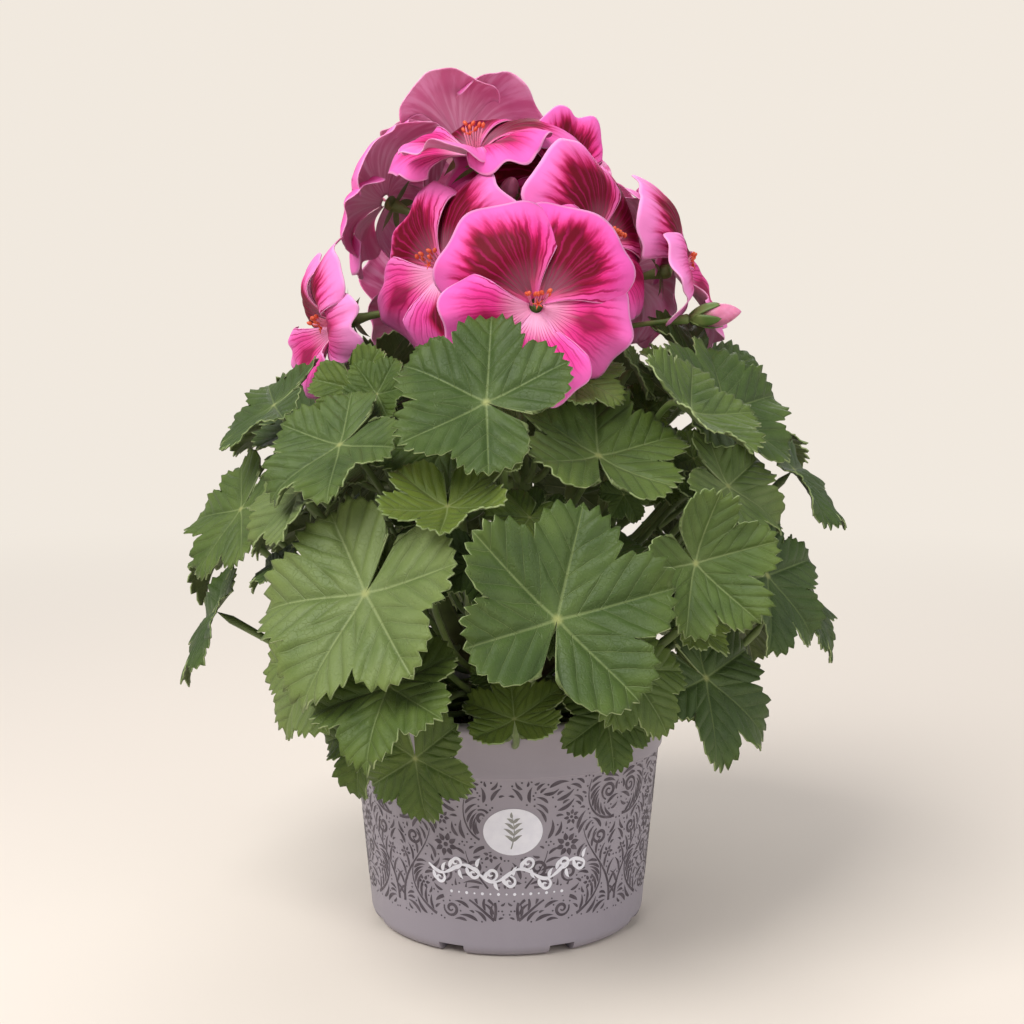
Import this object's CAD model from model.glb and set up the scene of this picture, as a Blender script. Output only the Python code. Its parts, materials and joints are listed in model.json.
# %% [markdown]
# # A regal pelargonium in a printed pot
#
# This lesson dresses a packed CAD model of a potted plant. The CAD holds the true sizes and places: a
# plastic pot, the compost, branching stems, forty leaves, twelve flowers and two buds. Here each plain
# solid is replaced by a finer piece that follows the same surface. The work goes from the frame to the
# light, then leaf, flower and bud, and last the pot with its print.

import json
import math
import random

import bmesh
import bpy
import numpy as np
from mathutils import Matrix, Vector, kdtree
from mathutils.bvhtree import BVHTree

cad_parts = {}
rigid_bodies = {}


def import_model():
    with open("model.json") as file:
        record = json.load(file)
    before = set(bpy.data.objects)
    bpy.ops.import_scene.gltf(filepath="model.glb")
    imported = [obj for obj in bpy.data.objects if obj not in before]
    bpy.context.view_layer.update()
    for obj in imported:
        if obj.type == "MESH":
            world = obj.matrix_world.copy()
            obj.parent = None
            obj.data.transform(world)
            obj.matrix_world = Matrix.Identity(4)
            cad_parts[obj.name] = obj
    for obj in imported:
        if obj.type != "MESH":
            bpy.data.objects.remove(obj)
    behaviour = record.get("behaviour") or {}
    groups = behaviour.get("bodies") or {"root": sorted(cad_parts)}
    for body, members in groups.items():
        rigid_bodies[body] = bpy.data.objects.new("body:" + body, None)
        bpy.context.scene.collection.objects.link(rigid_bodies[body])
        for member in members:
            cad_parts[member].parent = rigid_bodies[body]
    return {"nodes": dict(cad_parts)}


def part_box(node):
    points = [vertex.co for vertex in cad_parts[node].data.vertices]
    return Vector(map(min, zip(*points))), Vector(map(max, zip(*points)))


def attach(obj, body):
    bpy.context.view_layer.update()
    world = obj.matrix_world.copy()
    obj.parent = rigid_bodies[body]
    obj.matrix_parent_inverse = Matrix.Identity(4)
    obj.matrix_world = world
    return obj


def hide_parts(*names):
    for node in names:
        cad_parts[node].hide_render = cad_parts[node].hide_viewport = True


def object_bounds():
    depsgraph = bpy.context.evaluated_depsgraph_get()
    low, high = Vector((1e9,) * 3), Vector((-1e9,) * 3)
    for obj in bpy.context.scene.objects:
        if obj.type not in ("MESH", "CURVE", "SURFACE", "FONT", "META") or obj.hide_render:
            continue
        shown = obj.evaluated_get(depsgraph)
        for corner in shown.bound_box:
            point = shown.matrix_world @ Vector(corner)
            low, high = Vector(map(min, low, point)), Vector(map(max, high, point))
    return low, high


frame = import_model()
START_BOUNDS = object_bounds()
NODES = sorted(frame["nodes"])
print(len(NODES), "CAD nodes,", [round(1000 * (b - a)) for a, b in zip(*START_BOUNDS)], "mm")

# %% [markdown]
# ## Light and floor
#
# A plant shop's picture has soft light from above and one side, a cream floor and no visible horizon. A
# wide floor whose far parts glow in the backdrop's own colour gives that without a wall, so the plant
# can be seen from every side. A large lamp to the upper left models the leaves, and a weaker one lifts
# the right side.

# %% Camera
LENS = 52.24
SENSOR = 36.0
EYE = (0.0017, -0.5, 0.192)
TILT_DOWN = 6.2

scene = bpy.context.scene
scene.view_settings.view_transform = "Standard"
camera_data = bpy.data.cameras.new("camera")
camera_data.lens = LENS
camera_data.sensor_width = SENSOR
camera = bpy.data.objects.new("camera", camera_data)
camera.location = EYE
camera.rotation_euler = (math.radians(90 - TILT_DOWN), 0, 0)
scene.collection.objects.link(camera)
scene.camera = camera
print("a lens of", LENS, "mm, looking down by", TILT_DOWN, "degrees")

# %% A helper that writes a material as a chain of nodes
class Value:
    """One output of a finish's nodes, with plain arithmetic on it."""

    def __init__(self, finish, socket):
        self.finish = finish
        self.socket = socket

    def __add__(self, other):
        return self.finish.math("ADD", self, other)

    def __radd__(self, other):
        return self.finish.math("ADD", other, self)

    def __sub__(self, other):
        return self.finish.math("SUBTRACT", self, other)

    def __rsub__(self, other):
        return self.finish.math("SUBTRACT", other, self)

    def __mul__(self, other):
        return self.finish.math("MULTIPLY", self, other)

    def __truediv__(self, other):
        return self.finish.math("DIVIDE", self, other)

    def __pow__(self, other):
        return self.finish.math("POWER", self, other)

    def __abs__(self):
        return self.finish.math("ABSOLUTE", self)

    def step(self, start, end, low=0.0, high=1.0):
        """A smooth step: low before start, high after end."""
        limits = {0: self, 1: start, 2: end, 3: low, 4: high}
        return self.finish.node("MapRange", limits, interpolation_type="SMOOTHSTEP")

    def noise(self, scale, detail=3.0):
        return self.finish.node("TexNoise", {"Vector": self, "Scale": scale, "Detail": detail})

    def cells(self, scale):
        """The distance to the edge of the nearest cell."""
        inputs = {"Vector": self, "Scale": scale}
        return self.finish.node("TexVoronoi", inputs, "Distance", feature="DISTANCE_TO_EDGE")

    def stretched(self, scale):
        return self.finish.node("VectorMath", {0: self, 1: scale}, operation="MULTIPLY")


class Finish:
    """A material with short calls for the nodes that its colour is made from."""

    def __init__(self, name, roughness=0.5, **constants):
        self.material = bpy.data.materials.new(name)
        self.material.use_nodes = True
        self.tree = self.material.node_tree
        self.shader = self.tree.nodes["Principled BSDF"]
        self.shader.inputs["Roughness"].default_value = roughness
        for socket, value in constants.items():
            self.shader.inputs[socket.replace("_", " ")].default_value = value

    def set(self, node, values):
        for key, value in values.items():
            if isinstance(value, Value):
                self.tree.links.new(value.socket, node.inputs[key])
            else:
                node.inputs[key].default_value = value

    def node(self, kind, inputs, output=0, **settings):
        """A new node with these settings and inputs, as the value of one of its outputs."""
        made = self.tree.nodes.new("ShaderNode" + kind)
        for key, value in settings.items():
            setattr(made, key, value)
        self.set(made, inputs)
        return Value(self, made.outputs[output])

    def math(self, operation, *values):
        return self.node("Math", dict(enumerate(values)), operation=operation)

    def mix(self, share, low, high):
        colours = [(*c, 1) if isinstance(c, tuple) else c for c in (low, high)]
        return self.node("Mix", {0: share, 6: colours[0], 7: colours[1]}, 2, data_type="RGBA")

    def attribute(self, name):
        return self.node("Attribute", {}, "Fac", attribute_name=name)

    def sheet(self):
        """The coordinates that run over a sheet, from its UV map."""
        return self.node("UVMap", {}, uv_map="sheet")

    def objects(self):
        return self.node("TexCoord", {}, "Object")

    def split(self, vector):
        whole = self.node("SeparateXYZ", {0: vector}).socket.node
        return [Value(self, output) for output in whole.outputs]

    def paint(self, ground, *coats):
        """The colour: a ground, and coats of (share, colour) that are laid over it one after another."""
        for share, coat in coats:
            ground = self.mix(share, ground, coat)
        self.set(self.shader, {"Base Color": ground})

    def rough(self, value):
        self.set(self.shader, {"Roughness": value})

    def bump(self, height, strength, distance):
        inputs = {"Height": height, "Strength": strength, "Distance": distance}
        self.set(self.shader, {"Normal": self.node("Bump", inputs)})


print("a finish can", ", ".join(name for name in vars(Finish) if not name.startswith("_")))

# %% Floor, world and lamps
BACKDROP = (0.880, 0.815, 0.735)
FLOOR_PAPER = (0.815, 0.745, 0.665)
FLOOR_RADIUS = 12.0
SKYLIGHT = (0.40, 0.40, 0.42, 1.0)


def build_floor():
    bm = bmesh.new()
    bmesh.ops.create_circle(bm, cap_ends=True, segments=96, radius=FLOOR_RADIUS)
    mesh = bpy.data.meshes.new("floor")
    bm.to_mesh(mesh)
    bm.free()
    floor = bpy.data.objects.new("floor", mesh)
    scene.collection.objects.link(floor)
    finish = Finish("floor_paper", 0.85, Specular_IOR_Level=0.0)
    x, y, _ = finish.split(finish.objects())
    away = finish.math("SQRT", x * x + y * y)
    finish.paint(FLOOR_PAPER, (away.step(0.1, 1.2), (0.0, 0.0, 0.0)))
    finish.set(finish.shader, {"Emission Color": (*BACKDROP, 1)})
    finish.set(finish.shader, {"Emission Strength": away.step(0.15, 1.2)})
    mesh.materials.append(finish.material)


def build_world():
    world = bpy.data.worlds.new("studio")
    scene.world = world
    world.use_nodes = True
    tree = world.node_tree
    background = tree.nodes["Background"]
    seen = tree.nodes.new("ShaderNodeLightPath").outputs["Is Camera Ray"]
    shade = tree.nodes.new("ShaderNodeMix")
    shade.data_type = "RGBA"
    shade.inputs[6].default_value = SKYLIGHT
    shade.inputs[7].default_value = (*BACKDROP, 1)
    tree.links.new(seen, shade.inputs[0])
    tree.links.new(shade.outputs[2], background.inputs[0])


def lamp(name, place, aim, size, power, colour):
    data = bpy.data.lights.new(name, "AREA")
    data.size = size
    data.energy = power
    data.color = colour
    made = bpy.data.objects.new(name, data)
    made.location = place
    made.rotation_euler = (Vector(aim) - Vector(place)).to_track_quat("-Z", "Y").to_euler()
    scene.collection.objects.link(made)


build_floor()
build_world()
lamp("key", (-0.60, -0.75, 1.20), (0, 0, 0.15), 0.95, 21.0, (1.0, 0.98, 0.96))
lamp("fill", (0.95, -0.80, 0.45), (0, 0, 0.12), 0.90, 4.5, (1.0, 0.98, 0.97))
lamp("back", (0.10, 1.00, 0.90), (0, 0, 0.15), 0.80, 5.0, (1.0, 0.99, 0.97))

# %% [markdown]
# ## The sizes behind the CAD
#
# The plant grows from a few tables. Each leaf and flower has a wanted place, and the CAD moved it by a
# small step where it would have touched another. The same tables and formulas are repeated here, so a
# fine blade can follow its solid exactly. A pot's azimuth is counted from the front, and grows to the
# right.

# %% Pot and stem sizes, in metres
POT_HEIGHT = 0.0790
RIM_RADIUS = 0.0600
RIM_DROP = 0.0035
COLLAR_HEIGHT = 0.0185
COLLAR_FOOT_RADIUS = 0.0530
STEP_WIDTH = 0.0010
BODY_FOOT_RADIUS = 0.0468
FOOT_ROUNDING = 0.0045
FOOT_RING_WIDTH = 0.0050
FLOOR_LIFT = 0.0050
WALL = 0.0013
GAP = 0.0003
SOIL_TOP = POT_HEIGHT - 0.0120
CROWN_LIFT = 0.0060
SHOOT_RADII = (0.0032, 0.0021)
# azimuth, reach of the tip, height over the rim
SHOOTS = [
    (8, 0.036, 0.082), (58, 0.042, 0.078), (98, 0.038, 0.092), (140, 0.038, 0.084),
    (-150, 0.040, 0.088), (-98, 0.040, 0.084), (-46, 0.040, 0.076), (170, 0.008, 0.100),
]
LEAF_THICKNESS = 0.0009
PETIOLE_RADIUS = 0.0011
PETIOLE_RANGE = (0.10, 0.92)
PETIOLE_FALL = 0.55
PETIOLE_STANDOFF = GAP + 0.0006
LOBE_STEP = 62
LOBE_LENGTHS = (1.0, 0.96, 0.84)
print(len(SHOOTS), "shoots in a pot", round(1000 * POT_HEIGHT), "mm high")

# %% Leaves
# azimuth, reach, height over the rim, turn, elevation, roll, half width, cup, droop, tone from dark to light
LEAVES = {
    "leaf_front_large_left": (-23, 0.1000, 0.046, -6, 34, -16, 0.0345, 0.22, 0.28, 0.86),
    "leaf_front_large_right": (8, 0.1010, 0.040, 6, 26, 162, 0.0350, 0.26, 0.10, 0.52),
    "leaf_front_low": (-10, 0.0970, 0.032, 0, 32, 4, 0.0235, 0.16, 0.30, 0.55),
    "leaf_front_middle": (-3, 0.0860, 0.066, 8, 56, 8, 0.0200, 0.50, 0.10, 0.60),
    "leaf_rim_left": (-29, 0.0760, 0.000, -4, 20, -8, 0.0205, 0.10, 0.30, 0.45),
    "leaf_rim_front": (-9, 0.0790, 0.004, 4, 16, 6, 0.0205, 0.12, 0.30, 0.42),
    "leaf_rim_right": (23, 0.0760, 0.006, 0, 24, 0, 0.0170, 0.12, 0.25, 0.50),
    "leaf_skirt_right": (20, 0.0860, 0.018, 6, 36, 20, 0.0210, 0.14, 0.28, 0.62),
    "leaf_skirt_left": (-37, 0.0880, 0.020, -6, 30, -20, 0.0245, 0.16, 0.30, 0.95),
    "leaf_skirt_far_left": (-80, 0.0980, 0.028, 4, 30, -6, 0.0260, 0.14, 0.34, 0.30),
    "leaf_skirt_far_right": (46, 0.0840, 0.018, -6, 32, 44, 0.0280, 0.14, 0.30, 0.40),
    "leaf_side_left": (-64, 0.0920, 0.064, 14, 36, -14, 0.0250, 0.16, 0.26, 0.55),
    "leaf_side_left_light": (-35, 0.0900, 0.068, -6, 40, -20, 0.0225, 0.18, 0.24, 0.88),
    "leaf_shoulder_left": (-38, 0.0860, 0.086, -4, 48, -38, 0.0245, 0.20, 0.22, 0.60),
    "leaf_shoulder_left_dark": (-24, 0.0740, 0.078, 14, 38, -26, 0.0210, 0.14, 0.26, 0.30),
    "leaf_shoulder_far_left": (-62, 0.0800, 0.096, 10, 50, -50, 0.0240, 0.16, 0.24, 0.55),
    "leaf_top_left": (-70, 0.0680, 0.104, 24, 40, -140, 0.0290, 0.20, 0.12, 0.50),
    "leaf_top_front_left": (-12, 0.0700, 0.088, -10, 42, -118, 0.0290, 0.20, 0.16, 0.55),
    "leaf_top_front_right": (18, 0.0720, 0.086, 2, 42, 160, 0.0300, 0.24, 0.14, 0.66),
    "leaf_top_right": (90, 0.0690, 0.112, -44, 34, 158, 0.0290, 0.18, 0.14, 0.48),
    "leaf_shoulder_right": (66, 0.0760, 0.098, -20, 36, 160, 0.0290, 0.18, 0.16, 0.55),
    "leaf_shoulder_far_right": (84, 0.0955, 0.074, -14, 44, 26, 0.0260, 0.16, 0.32, 0.45),
    "leaf_side_right_light": (54, 0.0860, 0.072, -10, 38, 50, 0.0230, 0.18, 0.22, 0.80),
    "leaf_shoulder_front_right": (35, 0.0810, 0.088, 6, 50, 70, 0.0240, 0.34, 0.14, 0.62),
    "leaf_side_right_folded": (36, 0.0930, 0.052, -14, 10, 40, 0.0240, 0.44, 0.10, 0.70),
    "leaf_side_right": (60, 0.0930, 0.044, -14, 28, 34, 0.0270, 0.18, 0.26, 0.42),
    "leaf_skirt_side_right": (82, 0.1000, 0.034, -8, 30, 8, 0.0250, 0.14, 0.34, 0.35),
    "leaf_back_low_right": (112, 0.0880, 0.022, 0, 34, 4, 0.0250, 0.14, 0.32, 0.50),
    "leaf_back_low_middle_right": (148, 0.0920, 0.024, 4, 34, -6, 0.0270, 0.16, 0.30, 0.40),
    "leaf_back_low_middle_left": (-172, 0.0900, 0.020, -6, 36, 8, 0.0260, 0.14, 0.32, 0.60),
    "leaf_back_low_left": (-132, 0.0920, 0.026, 2, 34, 0, 0.0270, 0.14, 0.32, 0.45),
    "leaf_back_side_left": (-104, 0.0980, 0.050, 6, 40, 10, 0.0280, 0.16, 0.30, 0.55),
    "leaf_back_left": (-146, 0.0950, 0.062, -4, 42, -12, 0.0290, 0.18, 0.26, 0.70),
    "leaf_back_middle": (174, 0.0970, 0.058, 0, 42, 6, 0.0300, 0.18, 0.26, 0.50),
    "leaf_back_right": (134, 0.0950, 0.062, 6, 42, 14, 0.0280, 0.18, 0.26, 0.62),
    "leaf_back_side_right": (106, 0.0900, 0.086, 0, 50, -10, 0.0270, 0.18, 0.26, 0.48),
    "leaf_back_shoulder_right": (150, 0.0780, 0.096, 0, 54, 0, 0.0300, 0.20, 0.24, 0.60),
    "leaf_back_shoulder_left": (-160, 0.0780, 0.094, 0, 54, 0, 0.0300, 0.20, 0.24, 0.52),
    "leaf_back_shoulder_far_left": (-112, 0.0800, 0.094, 0, 52, 10, 0.0290, 0.20, 0.24, 0.58),
    "leaf_back_top": (165, 0.0500, 0.120, 0, 66, 180, 0.0270, 0.22, 0.16, 0.55),
}
print("the widest leaf is", round(2000 * max(leaf[6] for leaf in LEAVES.values())), "mm across")

# %% Flower heads, flowers and buds
HEADS = {
    "head_front": (10, 0.012, 0.112, 0),
    "head_top": (-160, 0.008, 0.128, 7),
    "head_right": (100, 0.030, 0.116, 2),
}
HEAD_RISE = 0.0100
STALK_RADIUS = 0.0016
PEDICEL_RADIUS = 0.0009
CALYX_LENGTH = 0.0075
CALYX_RADII = (0.0026, 0.0013)
CALYX_STANDOFF = GAP + 0.0006
PETAL_THICKNESS = 0.0007
PETAL_DROOP = 0.12
CUP_TURN = 0.62
# head, azimuth of the throat, reach, height over the rim, azimuth and elevation of the face, roll,
# half width, cup, and how pale with age
FLOWERS = {
    "flower_front": ("head_front", 9, 0.0560, 0.126, 4, 4, 0, 0.0255, 0.34, 0.1),
    "flower_left": ("head_front", -36, 0.0330, 0.138, -40, 12, 14, 0.0250, 0.26, 0.5),
    "flower_right": ("head_front", 55, 0.0340, 0.146, 50, 8, -12, 0.0260, 0.24, 0.35),
    "flower_top": ("head_top", -50, 0.0130, 0.176, -30, 58, 0, 0.0250, 0.26, 0.2),
    "flower_top_right": ("head_top", 80, 0.0140, 0.158, 24, 30, 0, 0.0260, 0.28, 0.0),
    "flower_low_left": ("head_front", -76, 0.0550, 0.122, -70, -14, 20, 0.0200, 0.50, 0.8),
    "flower_back_left": ("head_top", -118, 0.0470, 0.164, -112, 24, 0, 0.0240, 0.26, 0.3),
    "flower_back_top": ("head_top", -150, 0.0380, 0.182, -150, 44, 0, 0.0230, 0.28, 0.6),
    "flower_side_right": ("head_right", 98, 0.0560, 0.140, 80, 12, -8, 0.0250, 0.28, 0.7),
    "flower_back": ("head_top", 170, 0.0460, 0.160, 176, 16, 0, 0.0250, 0.26, 0.2),
    "flower_back_right": ("head_right", 140, 0.0520, 0.140, 134, 14, 0, 0.0240, 0.28, 0.4),
    "flower_back_low": ("head_top", -152, 0.0520, 0.128, -156, -4, 0, 0.0240, 0.30, 0.1),
}
# head, azimuth of the bud, half length
BUDS = {"bud_right": ("head_right", 98, 0.0085), "bud_top": ("head_top", 20, 0.0070)}
BUD_FATNESS = 0.42
print(len(HEADS), "heads,", len(FLOWERS), "flowers and", len(BUDS), "buds")

# %% [markdown]
# ## Places and frames
#
# A blade has a point where its stalk meets it, and three directions: across, towards its tip, and out of
# its face. Stalks are smooth curves that leave the back of the blade and bend to their stem.

# %% Directions and curves
def outward(azimuth, elevation=0.0):
    a = math.radians(azimuth)
    e = math.radians(elevation)
    return Vector((math.sin(a) * math.cos(e), -math.cos(a) * math.cos(e), math.sin(e)))


def place(azimuth, reach, over_rim):
    return outward(azimuth) * reach + Vector((0, 0, POT_HEIGHT + over_rim))


def bezier(points, t):
    points = list(points)
    while len(points) > 1:
        points = [a.lerp(b, t) for a, b in zip(points, points[1:])]
    return points[0]


def frame_of(face_azimuth, elevation, roll):
    """(across, tip, normal) of a blade. Its tip points downhill at roll 0."""
    normal = outward(face_azimuth, elevation)
    downhill = outward(face_azimuth, elevation - 90)
    across = downhill.cross(normal)
    r = math.radians(roll)
    tip = downhill * math.cos(r) - across * math.sin(r)
    return tip.cross(normal), tip, normal


def shoot_point(index, t):
    azimuth, reach, over_rim = SHOOTS[index]
    foot = Vector((0, 0, SOIL_TOP + CROWN_LIFT))
    tip = place(azimuth, reach, over_rim)
    middle = outward(azimuth) * reach * 0.9 + Vector((0, 0, foot.z + 0.35 * (tip.z - foot.z)))
    return bezier([foot, middle, tip], t)


def shoot_radius(t):
    return SHOOT_RADII[0] + t * (SHOOT_RADII[1] - SHOOT_RADII[0])


def petiole_controls(hub, normal, lift):
    """Control points from the back of a leaf to the side of the shoot that is nearest to it."""
    flat = Vector((hub.x, hub.y, 0)).normalized()
    index = max(range(len(SHOOTS) - 1), key=lambda k: flat.dot(outward(SHOOTS[k][0])))
    foot_z = SOIL_TOP + 2 * CROWN_LIFT
    tip_z = shoot_point(index, 1).z
    side = math.hypot(hub.x, hub.y) - SHOOTS[index][1]
    t = (hub.z - PETIOLE_FALL * abs(side) - foot_z) / (tip_z - foot_z)
    t = min(max(t, PETIOLE_RANGE[0]), PETIOLE_RANGE[1])
    on_shoot = shoot_point(index, t)
    along = (shoot_point(index, t + 0.02) - shoot_point(index, t - 0.02)).normalized()
    away = hub - on_shoot
    away = (away - away.dot(along) * along).normalized()
    base = on_shoot + away * (shoot_radius(t) + PETIOLE_STANDOFF)
    length = (hub - base).length
    start = hub - normal * LEAF_THICKNESS
    near = start - normal * 0.30 * length + Vector((0, 0, lift))
    far = base + away * 0.30 * length + Vector((0, 0, 0.5 * lift))
    return [start, near, far, base]


def head_point(name):
    return place(*HEADS[name][:3])


def calyx_ends(throat, normal):
    mouth = throat - normal * (PETAL_THICKNESS + CALYX_STANDOFF)
    return mouth, mouth - normal * CALYX_LENGTH


def pedicel_controls(head, throat, normal):
    start = head_point(head)
    foot = calyx_ends(throat, normal)[1]
    length = (foot - start).length
    rise = (foot - start).normalized() + Vector((0, 0, 0.6))
    return [foot, foot - normal * 0.35 * length, start + rise * 0.3 * length, start]


print("tops of the heads, in mm:", [[round(1000 * c) for c in head_point(name)] for name in HEADS])

# %% [markdown]
# ## Where the CAD put each blade
#
# The wanted places are known, and so are the steps that a blade may have been moved by. Three corners of
# a blade give it away: the move whose corners all lie on the solid's own corners is the one that was
# taken. Reading it this way keeps the fine leaves on the CAD even after it is packed again.

# %% The moves, smallest first
def moves(limits, sizes):
    mixes = [()]
    for limit in limits:
        mixes = [mix + (k,) for mix in mixes for k in range(-limit, limit + 1)]
    mixes.sort(key=lambda mix: (sum(k * k for k in mix), mix))
    return [[k * size for k, size in zip(mix, sizes)] for mix in mixes]


LEAF_STEPS = (0.0025, 0.0035, 8.0, 9.0)
LEAF_MOVES = moves((6, 3, 2, 2), LEAF_STEPS) + moves((11, 8, 3, 2), LEAF_STEPS)
FLOWER_MOVES = moves((6, 4, 3, 2), (0.0020, 0.0025, 6.0, 12.0))
PETIOLE_LIFTS = (0.0, 0.012, 0.024)
SURE_FIT = 0.00005


def leaf_frame(leaf, move):
    azimuth, reach, over_rim, turn, elevation, roll = leaf[:6]
    out, up, swing, nod = move
    hub = place(azimuth + swing * 0.5, reach + out, over_rim + up)
    return hub, frame_of(azimuth + turn + swing, elevation + nod, roll)


def flower_frame(flower, move):
    azimuth, reach, over_rim, face_azimuth, elevation, roll = flower[1:7]
    out, up, swing, spin = move
    throat = place(azimuth + swing, reach + out, over_rim + up)
    return throat, frame_of(face_azimuth + swing, elevation, roll + spin)


def leaf_corner(angle, leaf):
    """The CAD blade's corner at the end of a lobe: across, towards the tip, up."""
    half_width, cup, droop = leaf[6:9]
    length = np.interp(abs(angle), (0, LOBE_STEP, 2 * LOBE_STEP), LOBE_LENGTHS)
    a = math.radians(angle)
    x = length * math.sin(a)
    y = length * math.cos(a)
    z = cup * length ** 1.5 - droop * (max(y, 0) ** 2 + 0.5 * x * x)
    return Vector((x, y, z)) * half_width


def flower_corner(angle, flower):
    a = math.radians(angle)
    z = flower[8] * math.sin(math.pi * CUP_TURN) - PETAL_DROOP
    return Vector((math.sin(a), math.cos(a), z)) * flower[7]


def tree_of_points(node):
    verts = frame["nodes"][node].data.vertices
    tree = kdtree.KDTree(len(verts))
    for vert in verts:
        tree.insert(vert.co, vert.index)
    tree.balance()
    return tree


def in_frame(hub, axes, point):
    return hub + axes[0] * point.x + axes[1] * point.y + axes[2] * point.z


def read_pose(node, row, candidates, frame_at, corners):
    """The hub and frame whose corners fit the CAD node best."""
    tree = tree_of_points(node)
    best = None
    for move in candidates:
        hub, axes = frame_at(row, move)
        miss = max(tree.find(in_frame(hub, axes, corner))[2] for corner in corners)
        if best is None or miss < best[0]:
            best = (miss, hub, axes)
        if miss < SURE_FIT:
            break
    return best


print(len(LEAF_MOVES), "moves to try for a leaf and", len(FLOWER_MOVES), "for a flower")

# %% Reading every pose
def read_lift(node, hub, normal):
    """The lift of the petiole whose second ring lies on the CAD petiole."""
    tree = tree_of_points(node)

    def miss(lift):
        return abs(tree.find(bezier(petiole_controls(hub, normal, lift), 0.4))[2] - PETIOLE_RADIUS)

    return min(PETIOLE_LIFTS, key=miss)


leaf_poses = {}
flower_poses = {}
worst = 0.0
for name, leaf in LEAVES.items():
    corners = [leaf_corner(angle, leaf) for angle in (0, LOBE_STEP, -LOBE_STEP)]
    miss, hub, axes = read_pose(name, leaf, LEAF_MOVES, leaf_frame, corners)
    leaf_poses[name] = (hub, axes, read_lift(name, hub, axes[2]))
    worst = max(worst, miss)
for name, flower in FLOWERS.items():
    corners = [flower_corner(angle, flower) for angle in (0, 72, -72)]
    miss, hub, axes = read_pose(name, flower, FLOWER_MOVES, flower_frame, corners)
    flower_poses[name] = (hub, axes)
    worst = max(worst, miss)
print(len(leaf_poses), "leaves and", len(flower_poses), "flowers read")
print("worst fit", round(1000 * worst, 3), "mm")

# %% [markdown]
# ## Bending a grid into a piece
#
# Leaves, petals, stalks and sepals are all thin or round sheets. One flat grid can become any of them: a
# formula says where each point of the grid goes. Doubles are merged after that, so a tube closes on
# itself and the base of a leaf becomes one point.

# %% Sheets
TRIANGLES = {}
MERGE_DISTANCE = 0.000003


def sheet_mesh(name, columns, rows, shape, attributes=None, uv=None):
    """A grid bent by shape(u, v), which returns points. attributes and uv are functions of u and v too."""
    bm = bmesh.new()
    bmesh.ops.create_grid(bm, x_segments=columns, y_segments=rows, size=0.5)
    mesh = bpy.data.meshes.new(name)
    bm.to_mesh(mesh)
    bm.free()
    flat = np.empty(len(mesh.vertices) * 3, np.float32)
    mesh.vertices.foreach_get("co", flat)
    u, v = (flat.reshape(-1, 3)[:, :2] + 0.5).astype(float).T
    mesh.vertices.foreach_set("co", np.asarray(shape(u, v), np.float32).ravel())
    for key, values in (attributes(u, v) if attributes else {}).items():
        layer = mesh.attributes.new(key, "FLOAT", "POINT")
        layer.data.foreach_set("value", np.broadcast_to(values, u.shape).astype(np.float32))
    if uv:
        corners = np.empty(len(mesh.loops), np.int32)
        mesh.loops.foreach_get("vertex_index", corners)
        layer = mesh.uv_layers.new(name="sheet")
        layer.data.foreach_set("uv", np.asarray(uv(u, v), np.float32)[corners].ravel())
    return mesh


def merged(mesh, facing=None):
    """Merges the doubles and turns the faces outwards, or towards facing on an open sheet."""
    bm = bmesh.new()
    bm.from_mesh(mesh)
    bmesh.ops.remove_doubles(bm, verts=bm.verts, dist=MERGE_DISTANCE)
    bmesh.ops.recalc_face_normals(bm, faces=bm.faces)
    if facing is not None and sum(f.calc_area() * f.normal.dot(facing) for f in bm.faces) < 0:
        bmesh.ops.reverse_faces(bm, faces=bm.faces)
    bm.to_mesh(mesh)
    bm.free()
    mesh.shade_smooth()
    return mesh


def piece(name, mesh, materials, replaces=(), thickness=0.0):
    """The finished object. It rides on the root body and stands for CAD nodes if they are named."""
    obj = bpy.data.objects.new(name, mesh)
    scene.collection.objects.link(obj)
    for material in materials:
        mesh.materials.append(material)
    if thickness:
        solid = obj.modifiers.new("Thickness", "SOLIDIFY")
        solid.thickness = thickness
        solid.offset = -1
        solid.material_offset = min(1, len(materials) - 1)
        solid.material_offset_rim = len(materials) - 1
    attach(obj, "root")
    for node in replaces:
        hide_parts(node)
    TRIANGLES[name] = len(mesh.polygons) * (4 if thickness else 2)
    return obj


print("points within", round(1e6 * MERGE_DISTANCE), "micrometres become one")

# %% Tubes
def tube_shape(points, radii, lumps=0.0):
    """shape(u, v) of a tube through these points: u goes round it and v along it."""
    points = np.array(points, float)
    steps = np.linspace(0, 1, len(points))
    tangents = np.gradient(points, axis=0)
    tangents /= np.linalg.norm(tangents, axis=1, keepdims=True)
    spoke = np.cross(tangents[0], (0.3, 0.2, 1.0))
    spokes = []
    for tangent in tangents:
        spoke = spoke - spoke.dot(tangent) * tangent
        spoke /= np.linalg.norm(spoke)
        spokes.append(spoke)
    spokes = np.array(spokes)
    others = np.cross(tangents, spokes)

    def blend(rows_of, v):
        return np.stack([np.interp(v, steps, rows_of[:, k]) for k in range(3)], axis=1)

    def shape(u, v):
        a = 2 * math.pi * u
        turned = np.cos(a)[:, None] * blend(spokes, v) + np.sin(a)[:, None] * blend(others, v)
        radius = np.interp(v, steps, radii) * (1 + lumps * np.sin(5 * a + 40 * v))
        radius = radius * np.where((v < 1e-6) | (v > 1 - 1e-6), 0.02, 1)
        return blend(points, v) + radius[:, None] * turned

    return shape


def tube_mesh(name, points, radii, rows, sides, lumps=0.0):
    return merged(sheet_mesh(name, sides, rows, tube_shape(points, radii, lumps)))


def joined(name, meshes):
    """One mesh from several, for small pieces that grow as one."""
    bm = bmesh.new()
    for mesh in meshes:
        bm.from_mesh(mesh)
        bpy.data.meshes.remove(mesh)
    made = bpy.data.meshes.new(name)
    bm.to_mesh(made)
    bm.free()
    made.shade_smooth()
    return made


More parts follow.
